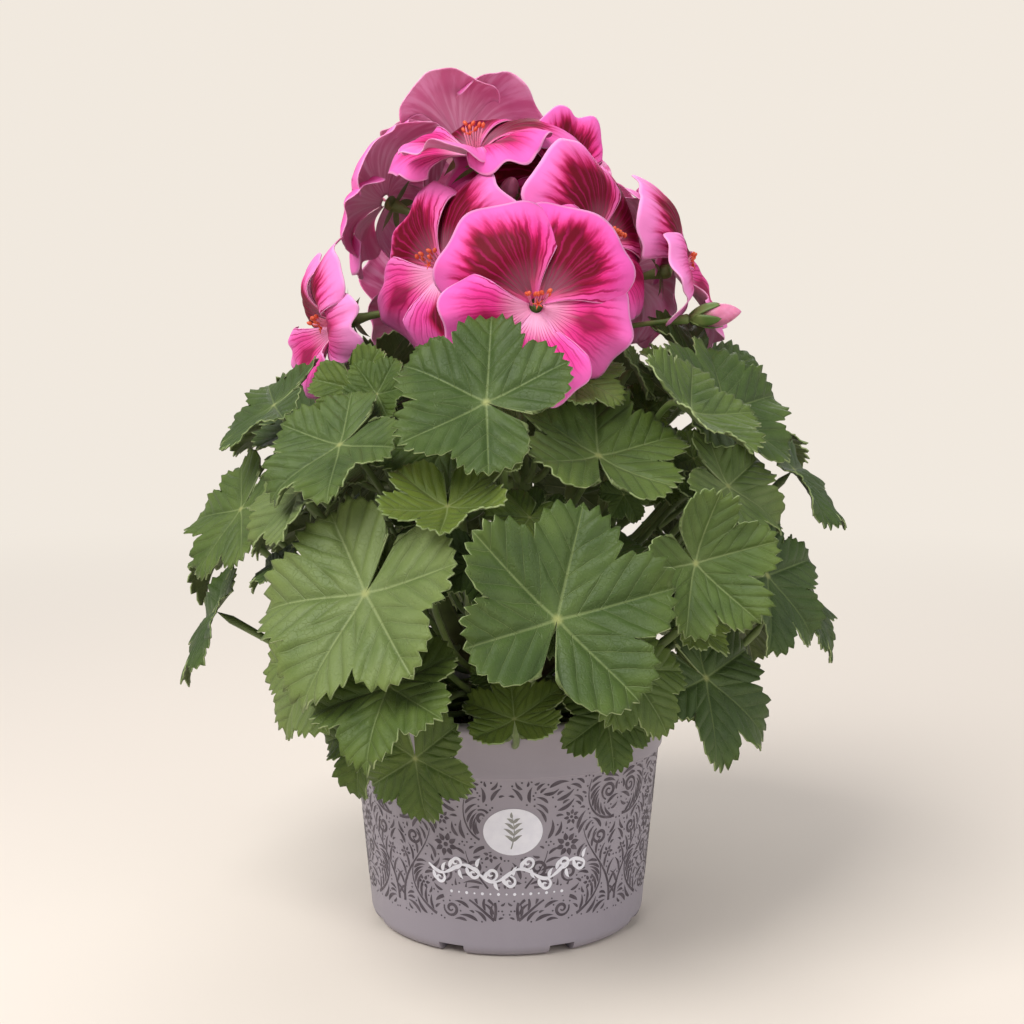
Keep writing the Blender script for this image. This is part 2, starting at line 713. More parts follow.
print("the first shoot spans", round(1000 * (shoot_point(0, 1) - shoot_point(0, 0)).length), "mm")

# %% [markdown]
# ## Leaf finish
#
# A pelargonium leaf is matt and slightly downy. The veins are paler than the blade, they run from the
# stalk into each lobe and branch towards the teeth, and a fine net joins them. Attributes on the mesh
# carry the distance from the nearest main vein and along it, so the veins in the colour lie in the
# grooves of the shape.

# %% Blade, underside and edge
BRANCH_STEP = 0.19
BRANCH_SLANT = 1.05


def vein_masks(finish):
    """Main veins, branches, the net between them and the dips beside them, each from 0 to 1."""
    across = finish.attribute("across")
    along = finish.attribute("along")
    sheet = finish.sheet()
    width = along.step(0.0, 1.0, 0.020, 0.006)
    main = (1.0 - across / width).step(0.0, 0.8)
    wobble = sheet.noise(5.0) * 0.05
    phase = finish.math("FRACT", (along - across * BRANCH_SLANT + wobble) / BRANCH_STEP)
    line = abs(phase - 0.5)
    crease = line.step(0.22, 0.5) * across.step(0.60, 0.25)
    crease = finish.math("MAXIMUM", crease, across.step(width * 5.0, width))
    branch = line.step(0.455, 0.495) * across.step(0.46, 0.12)
    net = sheet.cells(17.0).step(0.05, 0.005) * sheet.noise(4.0).step(0.35, 0.65)
    return main, branch, net, crease


def leaf_finish():
    finish = Finish("leaf_blade", 0.5, Sheen_Weight=0.03, Specular_IOR_Level=0.35)
    main, branch, net, crease = vein_masks(finish)
    along = finish.attribute("along")
    sheet = finish.sheet()
    cloud = sheet.noise(2.2, 4.0)
    tone = finish.attribute("tone") + (cloud - 0.5) * 0.70 + along.step(0.35, 0.0, 0.0, 0.16)
    yellow = finish.mix(tone.step(0.3, 0.9), (0.062, 0.110, 0.008), (0.150, 0.205, 0.020))
    pale = finish.mix(tone.step(0.2, 1.0), (0.110, 0.160, 0.040), (0.270, 0.330, 0.130))
    finish.paint(
        (0.016, 0.036, 0.008),
        (tone.step(0.05, 0.50), (0.042, 0.078, 0.013)),
        (tone.step(0.45, 0.80), (0.082, 0.132, 0.026)),
        (tone.step(0.75, 1.10), (0.150, 0.205, 0.060)),
        (finish.attribute("youth") * 0.8, yellow),
        (finish.attribute("rim").step(0.60, 1.0) * 0.25, yellow),
        (crease * 0.16, (0.020, 0.046, 0.006)),
        (net * 0.14, pale),
        (branch * 0.30, pale),
        (main * 0.55, pale),
        (along.step(0.06, 0.0), (0.300, 0.330, 0.110)),
    )
    finish.rough(0.44 + cloud * 0.16)
    relief = net * -0.5 + branch * -1.0 + sheet.noise(60.0) * 0.45 + crease * -0.7
    finish.bump(relief, 0.5, 0.0007)
    return finish.material


def underside_finish():
    finish = Finish("leaf_underside", 0.6, Sheen_Weight=0.06, Specular_IOR_Level=0.3)
    main, branch, net, crease = vein_masks(finish)
    finish.paint(
        (0.080, 0.115, 0.030),
        (finish.sheet().noise(3.0), (0.140, 0.180, 0.058)),
        (crease * 0.25, (0.060, 0.090, 0.022)),
        ((branch + net) * 0.3, (0.20, 0.25, 0.10)),
        (main * 0.8, (0.28, 0.33, 0.14)),
    )
    finish.bump(main + (branch + net * 0.4), 0.5, 0.0007)
    return finish.material


def green_finish(name, low, high, roughness=0.5):
    finish = Finish(name, roughness, Sheen_Weight=0.05)
    speckle = finish.objects().noise(90.0, 4.0)
    finish.paint(low, (speckle.step(0.3, 0.7), high))
    finish.bump(speckle, 0.2, 0.0004)
    return finish.material


LEAF_SKINS = [leaf_finish(), underside_finish()]
LEAF_SKINS.append(green_finish("leaf_edge", (0.18, 0.25, 0.08), (0.30, 0.37, 0.16), 0.6))
PETIOLE_SKIN = green_finish("petiole_skin", (0.085, 0.135, 0.028), (0.15, 0.21, 0.055))
print("leaf finishes:", [skin.name for skin in LEAF_SKINS + [PETIOLE_SKIN]])

# %% [markdown]
# ## The shape of a leaf
#
# The blade is a fan of five broad lobes with a fold along each vein. Its edge is cut into small teeth,
# nine from one main vein to the next, and each tooth is a little different. The blade is quilted between
# the veins and ruffled at the edge. Columns of the grid run out from the stalk, and four of them make a
# tooth, so that every tip and every valley falls on a column and stays sharp.

# %% Columns, outline and surface
PER_TOOTH = 4
LOBE_COLUMNS = 36
BACK_COLUMNS = 26
COLUMNS = 2 * (2 * LOBE_COLUMNS + BACK_COLUMNS)
ROWS = 13
BACK_EDGE = 173
MARKS = [0, BACK_COLUMNS, BACK_COLUMNS + LOBE_COLUMNS, COLUMNS // 2]
MARKS += [COLUMNS - mark for mark in MARKS[2::-1]]
MARK_ANGLES = (-BACK_EDGE, -2 * LOBE_STEP, -LOBE_STEP, 0, LOBE_STEP, 2 * LOBE_STEP, BACK_EDGE)
TOOTH_DEPTH = 0.078
# The depths below are in half widths of the blade.
VEIN_GROOVE = 0.020
GROOVE_WIDTH = 0.030
QUILT_HEIGHT = 0.021
EDGE_CURL = 0.04
# height, waves round the blade in a full turn
RUFFLES = ((0.055, 3), (0.050, 7), (0.020, 17))


def leaf_style(seed, ruffle=1.0):
    """The numbers that make one leaf differ from the next."""
    rng = random.Random(seed)
    return {
        "notch": rng.uniform(0.75, 1.2),
        "fold": rng.uniform(0.10, 0.17),
        "teeth": np.array([rng.uniform(0.55, 1.35) for _ in range(COLUMNS // PER_TOOTH + 2)]),
        "phases": [rng.uniform(0, 6.28) for _ in range(4)],
        "lengths": np.array([rng.uniform(0.95, 1.05) for _ in range(7)]),
        "ruffle": ruffle * rng.uniform(0.75, 1.3),
    }


def leaf_outline(angle, column, style):
    a = np.abs(angle)
    lobe = np.clip(np.round(a / LOBE_STEP), 0, 2)
    length = np.interp(a, (0, LOBE_STEP, 2 * LOBE_STEP), LOBE_LENGTHS)
    length = length * np.interp(angle, MARK_ANGLES, style["lengths"])
    off = np.clip(np.abs(a - lobe * LOBE_STEP) / (LOBE_STEP / 2), 0, 1)
    notch = np.where(a < 2 * LOBE_STEP, style["notch"] * (0.13 * off ** 2 + 0.17 * off ** 4), 0)
    back = np.clip((a - 2 * LOBE_STEP) / (BACK_EDGE - 2 * LOBE_STEP), 0, 1)
    phase = (column - COLUMNS / 2) / PER_TOOTH
    tooth = np.round(phase)
    inside = 2 * np.abs(phase - tooth)
    depth = TOOTH_DEPTH * style["teeth"][(tooth + COLUMNS // (2 * PER_TOOTH)).astype(int)]
    return length * (1 - notch) * (1 - 0.50 * back ** 3) * (1.03 - depth * inside * (1 - 0.8 * back))


def leaf_coordinates(u, v, style):
    column = u * COLUMNS
    angle = np.interp(column, MARKS, MARK_ANGLES)
    radius = v ** 0.85
    reach = radius * (1 - (1 - leaf_outline(angle, column, style)) * radius ** 2)
    lobe = np.sign(angle) * np.clip(np.round(np.abs(angle) / LOBE_STEP), 0, 2)
    off = np.radians(angle - lobe * LOBE_STEP)
    return angle, reach, reach * np.abs(np.sin(off)), reach * np.cos(off)


def leaf_points(u, v, leaf, style):
    """Points of the upper side, in the blade's own frame."""
    half_width, cup, droop = leaf[6:9]
    angle, reach, across, along = leaf_coordinates(u, v, style)
    a = np.radians(angle)
    x = reach * np.sin(a)
    y = reach * np.cos(a)
    inner = np.abs(angle) < 2 * LOBE_STEP
    fold = (0.55 + 0.45 * style["ruffle"]) * style["fold"] * reach ** 2
    fold = fold * (0.5 - 0.5 * np.cos(a * 360 / LOBE_STEP)) * inner
    z = cup * reach ** 1.5 + fold - droop * (np.clip(y, 0, 2) ** 2 + 0.5 * x ** 2)
    z -= VEIN_GROOVE * np.exp(-(across / GROOVE_WIDTH) ** 2) * np.clip(5 * reach, 0, 1) * (1 - 0.5 * reach)
    between = np.abs(np.sin(math.pi * (along - BRANCH_SLANT * across) / BRANCH_STEP))
    z += QUILT_HEIGHT * between * np.clip(across / 0.08, 0, 1) * np.clip(5 * reach - 0.7, 0, 1)
    wave = sum(height * np.sin(count * a + p) for (height, count), p in zip(RUFFLES, style["phases"]))
    z += style["ruffle"] * wave * reach ** 3
    z -= EDGE_CURL * reach ** 8
    return np.stack([x, y, z], axis=1) * half_width


def to_frame(points, hub, axes):
    return points @ np.array([list(axis) for axis in axes]) + np.array(hub)


print(COLUMNS // PER_TOOTH, "teeth round a leaf, in", COLUMNS, "columns")

# %% Keeping clear
class Crowd:
    """The pieces that are in place, as trees that a new piece may not cross."""

    def __init__(self):
        self.rows = []

    def add(self, mesh, owner):
        points = np.empty(len(mesh.vertices) * 3, np.float32)
        mesh.vertices.foreach_get("co", points)
        points = points.reshape(-1, 3)
        faces = [tuple(face.vertices) for face in mesh.polygons]
        tree = BVHTree.FromPolygons([Vector(p) for p in points], faces)
        self.rows.append((points.min(0), points.max(0), tree, owner))

    def free(self, points, columns, rows, owner=None):
        """Whether a bent grid of this many columns and rows crosses nothing of another owner."""
        faces = []
        for r in range(rows):
            for c in range(columns):
                k = r * (columns + 1) + c
                faces.append((k, k + 1, k + columns + 2, k + columns + 1))
        tree = BVHTree.FromPolygons([Vector(p) for p in points], faces)
        low = points.min(0)
        high = points.max(0)
        for a, b, other, who in self.rows:
            apart = (low > b).any() or (high < a).any() or (owner is not None and who == owner)
            if not apart and tree.overlap(other):
                return False
        return True


def grid_uv(columns, rows):
    v, u = np.meshgrid(np.linspace(0, 1, rows + 1), np.linspace(0, 1, columns + 1), indexing="ij")
    return u.ravel(), v.ravel()


crowd = Crowd()
# columns and rows of the rough blade and stalk that are tried before the fine ones are made
COARSE = (COLUMNS // 2, 6)
PETIOLE_COARSE = (5, 8)
print("a leaf is tried with", COARSE[0] * COARSE[1], "faces")

# %% [markdown]
# ## The leaves of the CAD
#
# Each leaf takes the place that was read, and a ruffle that keeps it off its neighbours. The blade is
# one sheet, given its thickness downwards by a Solidify modifier, with the paler underside and edge as
# its second and third material. The petiole is a tube along the same curve as in the CAD.

# %% One leaf
BLADE_SHEET = 0.0005
RUFFLE_TRIES = (1.0, 0.6, 0.3, 0.0)
PETIOLE_STEPS = 12


def add_leaf(name, leaf, pose, seed, replaces=(), ruffles=RUFFLE_TRIES, grid=(COLUMNS, ROWS)):
    hub, axes, lift = pose
    for ruffle in ruffles:
        style = leaf_style(seed, ruffle)
        coarse = to_frame(leaf_points(*grid_uv(*COARSE), leaf, style), hub, axes)
        if crowd.free(coarse, *COARSE):
            break
    rng = random.Random(seed + 1)
    youth = rng.choice((0.0, 0.0, 0.15, 0.3)) if leaf[6] > 0.022 else rng.uniform(0.1, 1.0)

    def shape(u, v):
        return to_frame(leaf_points(u, v, leaf, style), hub, axes)

    def attributes(u, v):
        _, reach, across, along = leaf_coordinates(u, v, style)
        tone = 1.25 * leaf[9] - 0.12 + rng.uniform(-0.08, 0.08)
        return {"across": across, "along": along, "rim": v, "tone": tone, "youth": youth}

    def uv(u, v):
        return leaf_points(u, v, leaf, style)[:, :2] / leaf[6] + 3 * style["phases"][3]

    mesh = merged(sheet_mesh(name + ".blade", *grid, shape, attributes, uv), axes[2])
    crowd.add(mesh, name)
    piece(name + ".blade", mesh, LEAF_SKINS, replaces, thickness=BLADE_SHEET)
    add_petiole(name, hub, axes[2], lift)


def petiole_line(hub, normal, lift):
    controls = petiole_controls(hub, normal, lift)
    return [bezier(controls, k / PETIOLE_STEPS) for k in range(PETIOLE_STEPS + 1)]


def petiole_radius(step):
    """Widest by the blade, slim along its length, and a little wider again where it meets the stem."""
    return 0.00105 * (1.45 - 0.9 * min(step / 3, 1) * 0.5 + 0.35 * max(step - 10, 0) / 2)


def add_petiole(name, hub, normal, lift):
    points = petiole_line(hub, normal, lift)
    radii = [petiole_radius(step) for step in range(PETIOLE_STEPS + 1)]
    mesh = tube_mesh(name + ".petiole", points, radii, rows=16, sides=8)
    crowd.add(mesh, name)
    piece(name + ".petiole", mesh, [PETIOLE_SKIN])


print("stalk radii, in mm:", [round(1000 * petiole_radius(step), 2) for step in range(PETIOLE_STEPS + 1)])

# %% All of them
for index, (name, leaf) in enumerate(LEAVES.items()):
    add_leaf(name, leaf, leaf_poses[name], seed=100 + index, replaces=(name,))
print(len(LEAVES), "leaves,", sum(TRIANGLES.values()), "triangles")

# %% [markdown]
# ## Stems
#
# Several green shoots spread from one crown just over the compost. They thicken at the joints where
# leaves were borne, and turn brown and corky at the base. The stalk of each flower head goes on from the
# end of its shoot.

# %% Stem finish
def stem_finish():
    """Brown bark by the compost, green above it."""
    finish = Finish("stem_skin", 0.6, Sheen_Weight=0.1)
    where = finish.objects()
    bark = where.noise(160.0, 5.0)
    old = finish.mix(bark, (0.055, 0.040, 0.020), (0.16, 0.12, 0.065))
    young = finish.mix(bark, (0.10, 0.165, 0.035), (0.20, 0.26, 0.075))
    height = finish.split(where)[2] + (bark - 0.5) * 0.03
    finish.paint(old, (height.step(SOIL_TOP + 0.012, SOIL_TOP + 0.050), young))
    finish.bump(bark, 0.4, 0.0008)
    return finish.material


STEM_SKIN = stem_finish()
print("the stem finish has", len(STEM_SKIN.node_tree.nodes), "nodes")

# %% Crown, shoots and head stalks
STEM_STEPS = 24
HEAD_STALK_STEPS = 14


def noded(radius, t, joints):
    """A radius that swells at each joint."""
    return radius * (1 + 0.28 * sum(math.exp(-((t - joint) / 0.025) ** 2) for joint in joints))


def build_stems():
    crown = [Vector((0, 0, SOIL_TOP + z)) for z in (-0.004, 0.0, 0.003, 0.006, 0.0096)]
    parts = [tube_mesh("crown", crown, [0.0046, 0.0050, 0.0048, 0.0046, 0.0036], 20, 18, lumps=0.06)]
    for index in range(len(SHOOTS)):
        rng = random.Random(40 + index)
        joints = [k * 0.16 + rng.uniform(0.05, 0.15) for k in range(6)]
        steps = [k / STEM_STEPS for k in range(STEM_STEPS + 1)]
        radii = [noded(shoot_radius(t), t, joints) for t in steps]
        points = [shoot_point(index, t) for t in steps]
        parts.append(tube_mesh("shoot", points, radii, 48, 12, lumps=0.03))
    return piece("stems_and_crown", joined("stems_and_crown", parts), [STEM_SKIN], ("stems",))


def head_stalk_line(name):
    azimuth, reach, over_rim, shoot = HEADS[name]
    top = place(azimuth, reach, over_rim)
    foot = shoot_point(shoot, 1)
    rise = (foot - shoot_point(shoot, 1 - 1 / 6)).normalized()
    straight = foot + rise * (GAP + STALK_RADIUS)
    near = straight + rise * 0.35 * (top - foot).length
    controls = [straight, near, top - Vector((0, 0, HEAD_RISE)), top]
    return [bezier(controls, k / HEAD_STALK_STEPS) for k in range(HEAD_STALK_STEPS + 1)]


crowd.add(build_stems().data, "stems")
print("stems of", TRIANGLES["stems_and_crown"], "triangles")

# %% [markdown]
# ## Flower finish
#
# A regal pelargonium's petal is satin pink with a darker heart. The two upper petals have a big maroon
# blotch that feathers out along the veins through crimson into pink. The lower ones are paler, with dark
# lines that run to a pale throat, and a small mark on the lowest. Every petal has a lighter lilac edge.
# The petal's own coordinates say how far along and how far across it a point is.

# %% Petal face and back
def petal_finish():
    finish = Finish("petal_face", 0.6, Specular_IOR_Level=0.12)
    sheet = finish.sheet()
    u, t, _ = finish.split(sheet)
    s = (u - 0.5) * 2.0
    blotch = finish.attribute("blotch")
    spot = finish.attribute("spot")
    age = finish.attribute("age")
    rim = finish.attribute("rim")
    feather = sheet.stretched((16.0, 2.2, 1.0)).noise(1.0, 4.0) - 0.5
    soft = sheet.noise(5.0) - 0.5
    wide_lines = abs(finish.math("SINE", s * 21.0 + soft * 3.2)).step(0.86, 1.0)
    fine_lines = finish.math("SINE", s * 47.0 + soft * 7.0).step(0.70, 1.0)
    lines = (wide_lines + fine_lines * 0.5) * (t.step(0.08, 0.25) * t.step(0.98, 0.55))
    pink = finish.mix(age, (0.780, 0.035, 0.290), (0.830, 0.130, 0.450))
    lilac = finish.mix(age, (0.860, 0.120, 0.480), (0.880, 0.300, 0.640))
    away = finish.math("SQRT", abs(s / 0.95) ** 2.0 + ((t - 0.40) / 0.50) ** 2.0)
    away = away + (feather * 0.85 + lines * -0.14)
    diamond = abs(s / 0.42) + abs((t - 0.52) / 0.30) + feather * 0.7
    throat = (t + feather * 0.12).step(0.42, 0.10)
    finish.paint(
        pink,
        ((rim + soft * 0.25).step(0.55, 0.98), lilac),
        (away.step(1.15, 0.62) * blotch.step(0.1, 0.6), (0.560, 0.006, 0.085)),
        (away.step(0.92, 0.55) * blotch.step(0.3, 0.9), (0.130, 0.002, 0.012)),
        (diamond.step(1.25, 0.6) * spot, (0.400, 0.008, 0.055)),
        (diamond.step(0.8, 0.45) * spot, (0.110, 0.004, 0.014)),
        (throat * (0.15 + (1.0 - blotch) * 0.7), (0.880, 0.480, 0.680)),
        (lines * 0.60, (0.330, 0.006, 0.080)),
        (rim.step(0.965, 1.0) * 0.65, (0.930, 0.480, 0.760)),
    )
    finish.bump(feather + lines * -0.4, 0.22, 0.0005)
    return finish.material


def petal_back_finish():
    finish = Finish("petal_back", 0.5, Sheen_Weight=0.08, Specular_IOR_Level=0.35)
    sheet = finish.sheet()
    feather = sheet.stretched((18.0, 1.6, 1.0)).noise(1.0, 4.0)
    t = finish.split(sheet)[1]
    finish.paint(
        (0.800, 0.200, 0.450),
        (feather.step(0.35, 0.7), (0.880, 0.400, 0.640)),
        (t.step(0.75, 0.35) * 0.5, (0.850, 0.480, 0.600)),
        (finish.attribute("blotch") * (feather.step(0.65, 0.4) * 0.55), (0.600, 0.060, 0.240)),
        (finish.attribute("age") * 0.3, (0.920, 0.600, 0.780)),
    )
    finish.bump(feather, 0.22, 0.0005)
    return finish.material


def stamen_finish(name, low, high):
    finish = Finish(name, 0.45, Subsurface_Weight=0.05, Subsurface_Scale=0.001)
    finish.paint(low, (finish.objects().noise(500.0), high))
    return finish.material


PETAL_SKINS = [petal_finish(), petal_back_finish()]
SEPAL_SKIN = green_finish("sepal_skin", (0.09, 0.16, 0.030), (0.20, 0.27, 0.075))
STAMEN_SKIN = stamen_finish("stamen_thread", (0.62, 0.10, 0.22), (0.80, 0.35, 0.48))
ANTHER_SKIN = stamen_finish("anther", (0.52, 0.03, 0.015), (0.85, 0.16, 0.05))
print("the petal finish has", len(PETAL_SKINS[0].node_tree.nodes), "nodes")

# %% [markdown]
# ## The shape of a petal
#
# Five separate petals make a flower. Each is a fan that is narrow at its claw and broad at its end,
# cupped like the CAD disc, with a ruffled edge. A petal is tilted a little about its own length, the
# same way on all five, so each one lies over its neighbour on one side and under it on the other. The
# two upper petals are the largest. Where a flower is crowded, a petal is tried shorter, or bent forward
# or back, until it is clear.

# %% Petals
PETAL_COLUMNS = 40
PETAL_ROWS = 26
PETAL_COARSE = (14, 9)
# centre angle, half angle of the fan, length, blotch, spot
PETALS = {
    "lowest": (0, 43, 1.06, 0.0, 1.0),
    "right": (70, 46, 1.04, 0.30, 0.6),
    "left": (-70, 46, 1.04, 0.30, 0.6),
    "upper_right": (145, 54, 1.20, 1.0, 0.0),
    "upper_left": (-145, 54, 1.20, 1.0, 0.0),
}
PETAL_SIZES = (1.10, 1.0, 0.92, 0.84, 0.76)
PETAL_BENDS = (0.0, -0.12, 0.12, -0.26, 0.26, 0.42)
PETAL_TRIES = [(size, bend) for size in PETAL_SIZES for bend in PETAL_BENDS]
PETAL_SHEET = 0.0003
CLAW = 0.07
FRILL = 0.028


def petal_points(u, v, flower, petal, style):
    half_width, cup = flower[7:9]
    centre, fan, length = petal[:3]
    size, bend, tilt, p = style
    s = 2 * u - 1
    t = CLAW + (1 - CLAW) * v
    opened = np.clip(t / 0.62, 0, 1)
    a = np.radians(fan) * s * (0.80 + 0.20 * opened * opened * (3 - 2 * opened))
    round_end = 1 - 0.30 * np.abs(s) ** 3.2 - 0.035 * np.cos(3 * math.pi * s + p[0])
    reach = length * size * t * (1 - (1 - round_end) * t ** 2)
    x = reach * np.sin(a)
    y = reach * np.cos(a)
    z = cup * np.sin(np.clip(reach, 0, 1) * math.pi * CUP_TURN) - PETAL_DROOP * reach ** 3
    z += bend * reach ** 2 + tilt * x - 0.30 * x * x * reach
    z += 0.007 * np.cos(24 * a) * t
    z += t ** 3 * (0.090 * np.sin(3.1 * s + p[1]) + 0.065 * np.sin(6.3 * s + p[2]))
    z += FRILL * t ** 5 * np.sin(14 * s + p[3]) - 0.10 * t ** 8
    c = math.cos(math.radians(centre))
    d = math.sin(math.radians(centre))
    return np.stack([x * c + y * d, y * c - x * d, z], axis=1) * half_width


def fit_petal(flower, petal, pose, seed, owner):
    """The first size and bend of the petal that crosses no other piece."""
    rng = random.Random(seed)
    phases = [rng.uniform(0, 6.28) for _ in range(4)]
    tilt = 0.15 + rng.uniform(-0.02, 0.03)
    swing = rng.uniform(-0.12, 0.10)
    u, v = grid_uv(*PETAL_COARSE)
    for size, bend in PETAL_TRIES:
        style = (size, bend + swing, tilt, phases)
        if crowd.free(to_frame(petal_points(u, v, flower, petal, style), *pose), *PETAL_COARSE, owner):
            return style
    return style


def add_petal(name, part, flower, pose, seed, replaces):
    petal = PETALS[part]
    style = fit_petal(flower, petal, pose, seed, name)
    rng = random.Random(seed + 5)
    age = min(max(flower[9] + rng.uniform(-0.15, 0.15), 0), 1)

    def shape(u, v):
        return to_frame(petal_points(u, v, flower, petal, style), *pose)

    def attributes(u, v):
        edge = np.clip(np.maximum(v, 1 - 0.9 * (1 - np.abs(2 * u - 1)) * (1 + v)), 0, 1)
        return {"rim": edge, "blotch": petal[3] * rng.uniform(0.85, 1.0), "spot": petal[4], "age": age}

    def uv(u, v):
        return np.stack([u, v], axis=1)

    label = name + "." + part
    mesh = merged(sheet_mesh(label, PETAL_COLUMNS, PETAL_ROWS, shape, attributes, uv), pose[1][2])
    crowd.add(mesh, name)
    piece(label, mesh, PETAL_SKINS, replaces, thickness=PETAL_SHEET)


print(len(PETALS), "petals to a flower, and", len(PETAL_TRIES), "sizes and bends to try")

# %% All twelve flowers
for index, (name, flower) in enumerate(FLOWERS.items()):
    for number, part in enumerate(PETALS):
        replaces = (name,) if number == 0 else ()
        add_petal(name, part, flower, flower_poses[name], 1000 + 10 * index + number, replaces)
print(len(FLOWERS), "flowers,", sum(TRIANGLES.values()), "triangles so far")

# %% [markdown]
# ## Behind and inside the flower
#
# Five pointed sepals hold the petals, on a swollen tube that is the nectar spur grown onto the flower
# stalk. Inside are seven thin threads with red anthers, curved up towards the upper petals, and a short
# style that splits into five. They are thin tubes that grow from the throat.

# %% Stalks, sepals, stamens
SEPAL_LENGTH = 0.0105
SEPAL_HALF_WIDTH = 0.0018
BRACT_LENGTH = 0.0060
THREADS = 7
THREAD_LENGTH = 0.0085
THREAD_RADIUS = 0.00028
ANTHER_RADII = (0.0003, 0.00062, 0.0007, 0.00062, 0.0003)
STYLE_LENGTH = 0.0068


def sepal_mesh(throat, axes, angle, length=SEPAL_LENGTH):
    across, tip, normal = (np.array(axis) for axis in axes)
    side = math.sin(math.radians(angle)) * across + math.cos(math.radians(angle)) * tip
    round_ = np.cross(normal, side)
    base = np.array(throat) - normal * (PETAL_THICKNESS + CALYX_STANDOFF + 0.0012)

    def shape(u, v):
        width = SEPAL_HALF_WIDTH * np.sin(math.pi * (0.16 + 0.84 * v)) ** 0.8 * (1 - v ** 4)
        out = 0.0014 + length * v * (0.75 + 0.2 * v)
        up = -0.0006 - 0.0022 * v ** 2
        x = (2 * u - 1) * width
        points = base + np.outer(out, side) + np.outer(x, round_)
        return points + np.outer(up - 90 * x * x, normal)

    return merged(sheet_mesh("sepal", 4, 8, shape), normal)


def stamen_meshes(throat, axes, seed):
    """Threads, then their ends."""
    across, tip, normal = axes
    rng = random.Random(seed)
    threads = []
    ends = []
    for k in range(THREADS):
        lean = (k - THREADS // 2) * 0.10 + rng.uniform(-0.04, 0.04)
        length = THREAD_LENGTH + rng.uniform(-0.0015, 0.0015)
        start = throat + across * lean * 0.004 + normal * 0.0002
        middle = start + normal * length * 0.6 + across * lean * 0.5 * length - tip * 0.05 * length
        end = start + normal * length + across * lean * length - tip * 0.35 * length
        points = [bezier([start, middle, end], j / 5) for j in range(6)]
        threads.append(tube_mesh("thread", points, [THREAD_RADIUS] * 5 + [0.00018], 6, 5))
        heading = (points[5] - points[4]).normalized()
        turned = (heading + across * rng.uniform(-0.8, 0.8)).normalized()
        near = turned * 0.0005
        far = turned * 0.0011
        line = [end - far, end - near, end, end + near, end + far]
        ends.append(tube_mesh("anther", line, ANTHER_RADII, 6, 6))
    for k in range(5):
        a = math.radians(72 * k)
        start = throat + normal * STYLE_LENGTH
        out = across * math.cos(a) + tip * math.sin(a)
        points = [start, start + normal * 0.0010 + out * 0.0006, start + normal * 0.0012 + out * 0.0019]
        ends.append(tube_mesh("stigma", points, [0.0003, 0.00024, 0.0001], 4, 5))
    column = [throat, throat + normal * (STYLE_LENGTH / 2), throat + normal * STYLE_LENGTH]
    threads.append(tube_mesh("style", column, [0.0004, 0.0003, 0.0003], 4, 6))
    return threads, ends


def pedicel_mesh(head, throat, normal):
    mouth, foot = calyx_ends(throat, normal)
    controls = pedicel_controls(head, throat, normal)
    neck = [throat + normal * 0.0005] + [mouth.lerp(foot, t) for t in (0.0, 0.25, 0.5, 0.8)]
    radii = [0.0019, CALYX_RADII[0], 0.0024, 0.0019, 0.0015]
    points = neck + [bezier(controls, t) for t in (0, 0.1, 0.25, 0.4, 0.55, 0.7, 0.85, 1.0)]
    radii += [CALYX_RADII[1], 0.0011] + [PEDICEL_RADIUS] * 6
    return tube_mesh("pedicel", points, radii, 30, 9)


print(THREADS, "threads of about", round(1000 * THREAD_LENGTH, 1), "mm to a flower")

# %% Heads with all that they carry
def bract_meshes(name):
    """The ring of small bracts that the flower stalks grow out of."""
    top = head_point(name)
    axes = (Vector((1, 0, 0)), Vector((0, 1, 0)), Vector((0, 0, 1)))
    return [sepal_mesh(top + Vector((0, 0, 0.0012)), axes, 60 * k + 20, BRACT_LENGTH) for k in range(6)]


def build_head(name):
    line = head_stalk_line(name)
    parts = [tube_mesh("stalk", line, [STALK_RADIUS] * len(line), 24, 10, lumps=0.03)]
    top = head_point(name)
    knob = [top + Vector((0, 0, z)) for z in (-0.0030, -0.0015, 0.0, 0.0015, 0.0026)]
    parts.append(tube_mesh("knob", knob, [0.0017, 0.0024, 0.0027, 0.0024, 0.0010], 10, 12))
    parts += bract_meshes(name)
    for flower_name, flower in FLOWERS.items():
        if flower[0] == name:
            throat, axes = flower_poses[flower_name]
            parts.append(pedicel_mesh(name, throat, axes[2]))
            parts += [sepal_mesh(throat, axes, 72 * k + 36) for k in range(5)]
    parts += [bud_stalk_mesh(bud_name) for bud_name, bud in BUDS.items() if bud[0] == name]
    piece(name + ".stalks", joined(name + ".stalks", parts), [SEPAL_SKIN], (name,))


def bud_pose(name):
    head, azimuth, _ = BUDS[name]
    low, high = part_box(name)
    middle = (low + high) / 2
    heading = (middle - head_point(head)).normalized() + outward(azimuth) * 0.6
    return middle, heading.normalized()


def bud_stalk_mesh(name):
    head, _, half = BUDS[name]
    middle, heading = bud_pose(name)
    start = head_point(head)
    mouth = middle - heading * (half + GAP)
    foot = mouth - heading * CALYX_LENGTH * 0.6
    rise = start.lerp(foot, 0.3) + Vector((0, 0, 0.004))
    controls = [foot, foot - heading * 0.008, rise, start]
    points = [mouth + heading * 0.002] + [bezier(controls, k / 8) for k in range(9)]
    return tube_mesh("bud_stalk", points, [0.0020, 0.0014] + [PEDICEL_RADIUS] * 8, 24, 8)


for name in HEADS:
    build_head(name)
for index, (name, (throat, axes)) in enumerate(flower_poses.items()):
    threads, ends = stamen_meshes(throat, axes, 70 + index)
    piece(name + ".threads", joined(name + ".threads", threads), [STAMEN_SKIN])
    piece(name + ".anthers", joined(name + ".anthers", ends), [ANTHER_SKIN])
print("triangles in the stalks:", [TRIANGLES[name + ".stalks"] for name in HEADS])

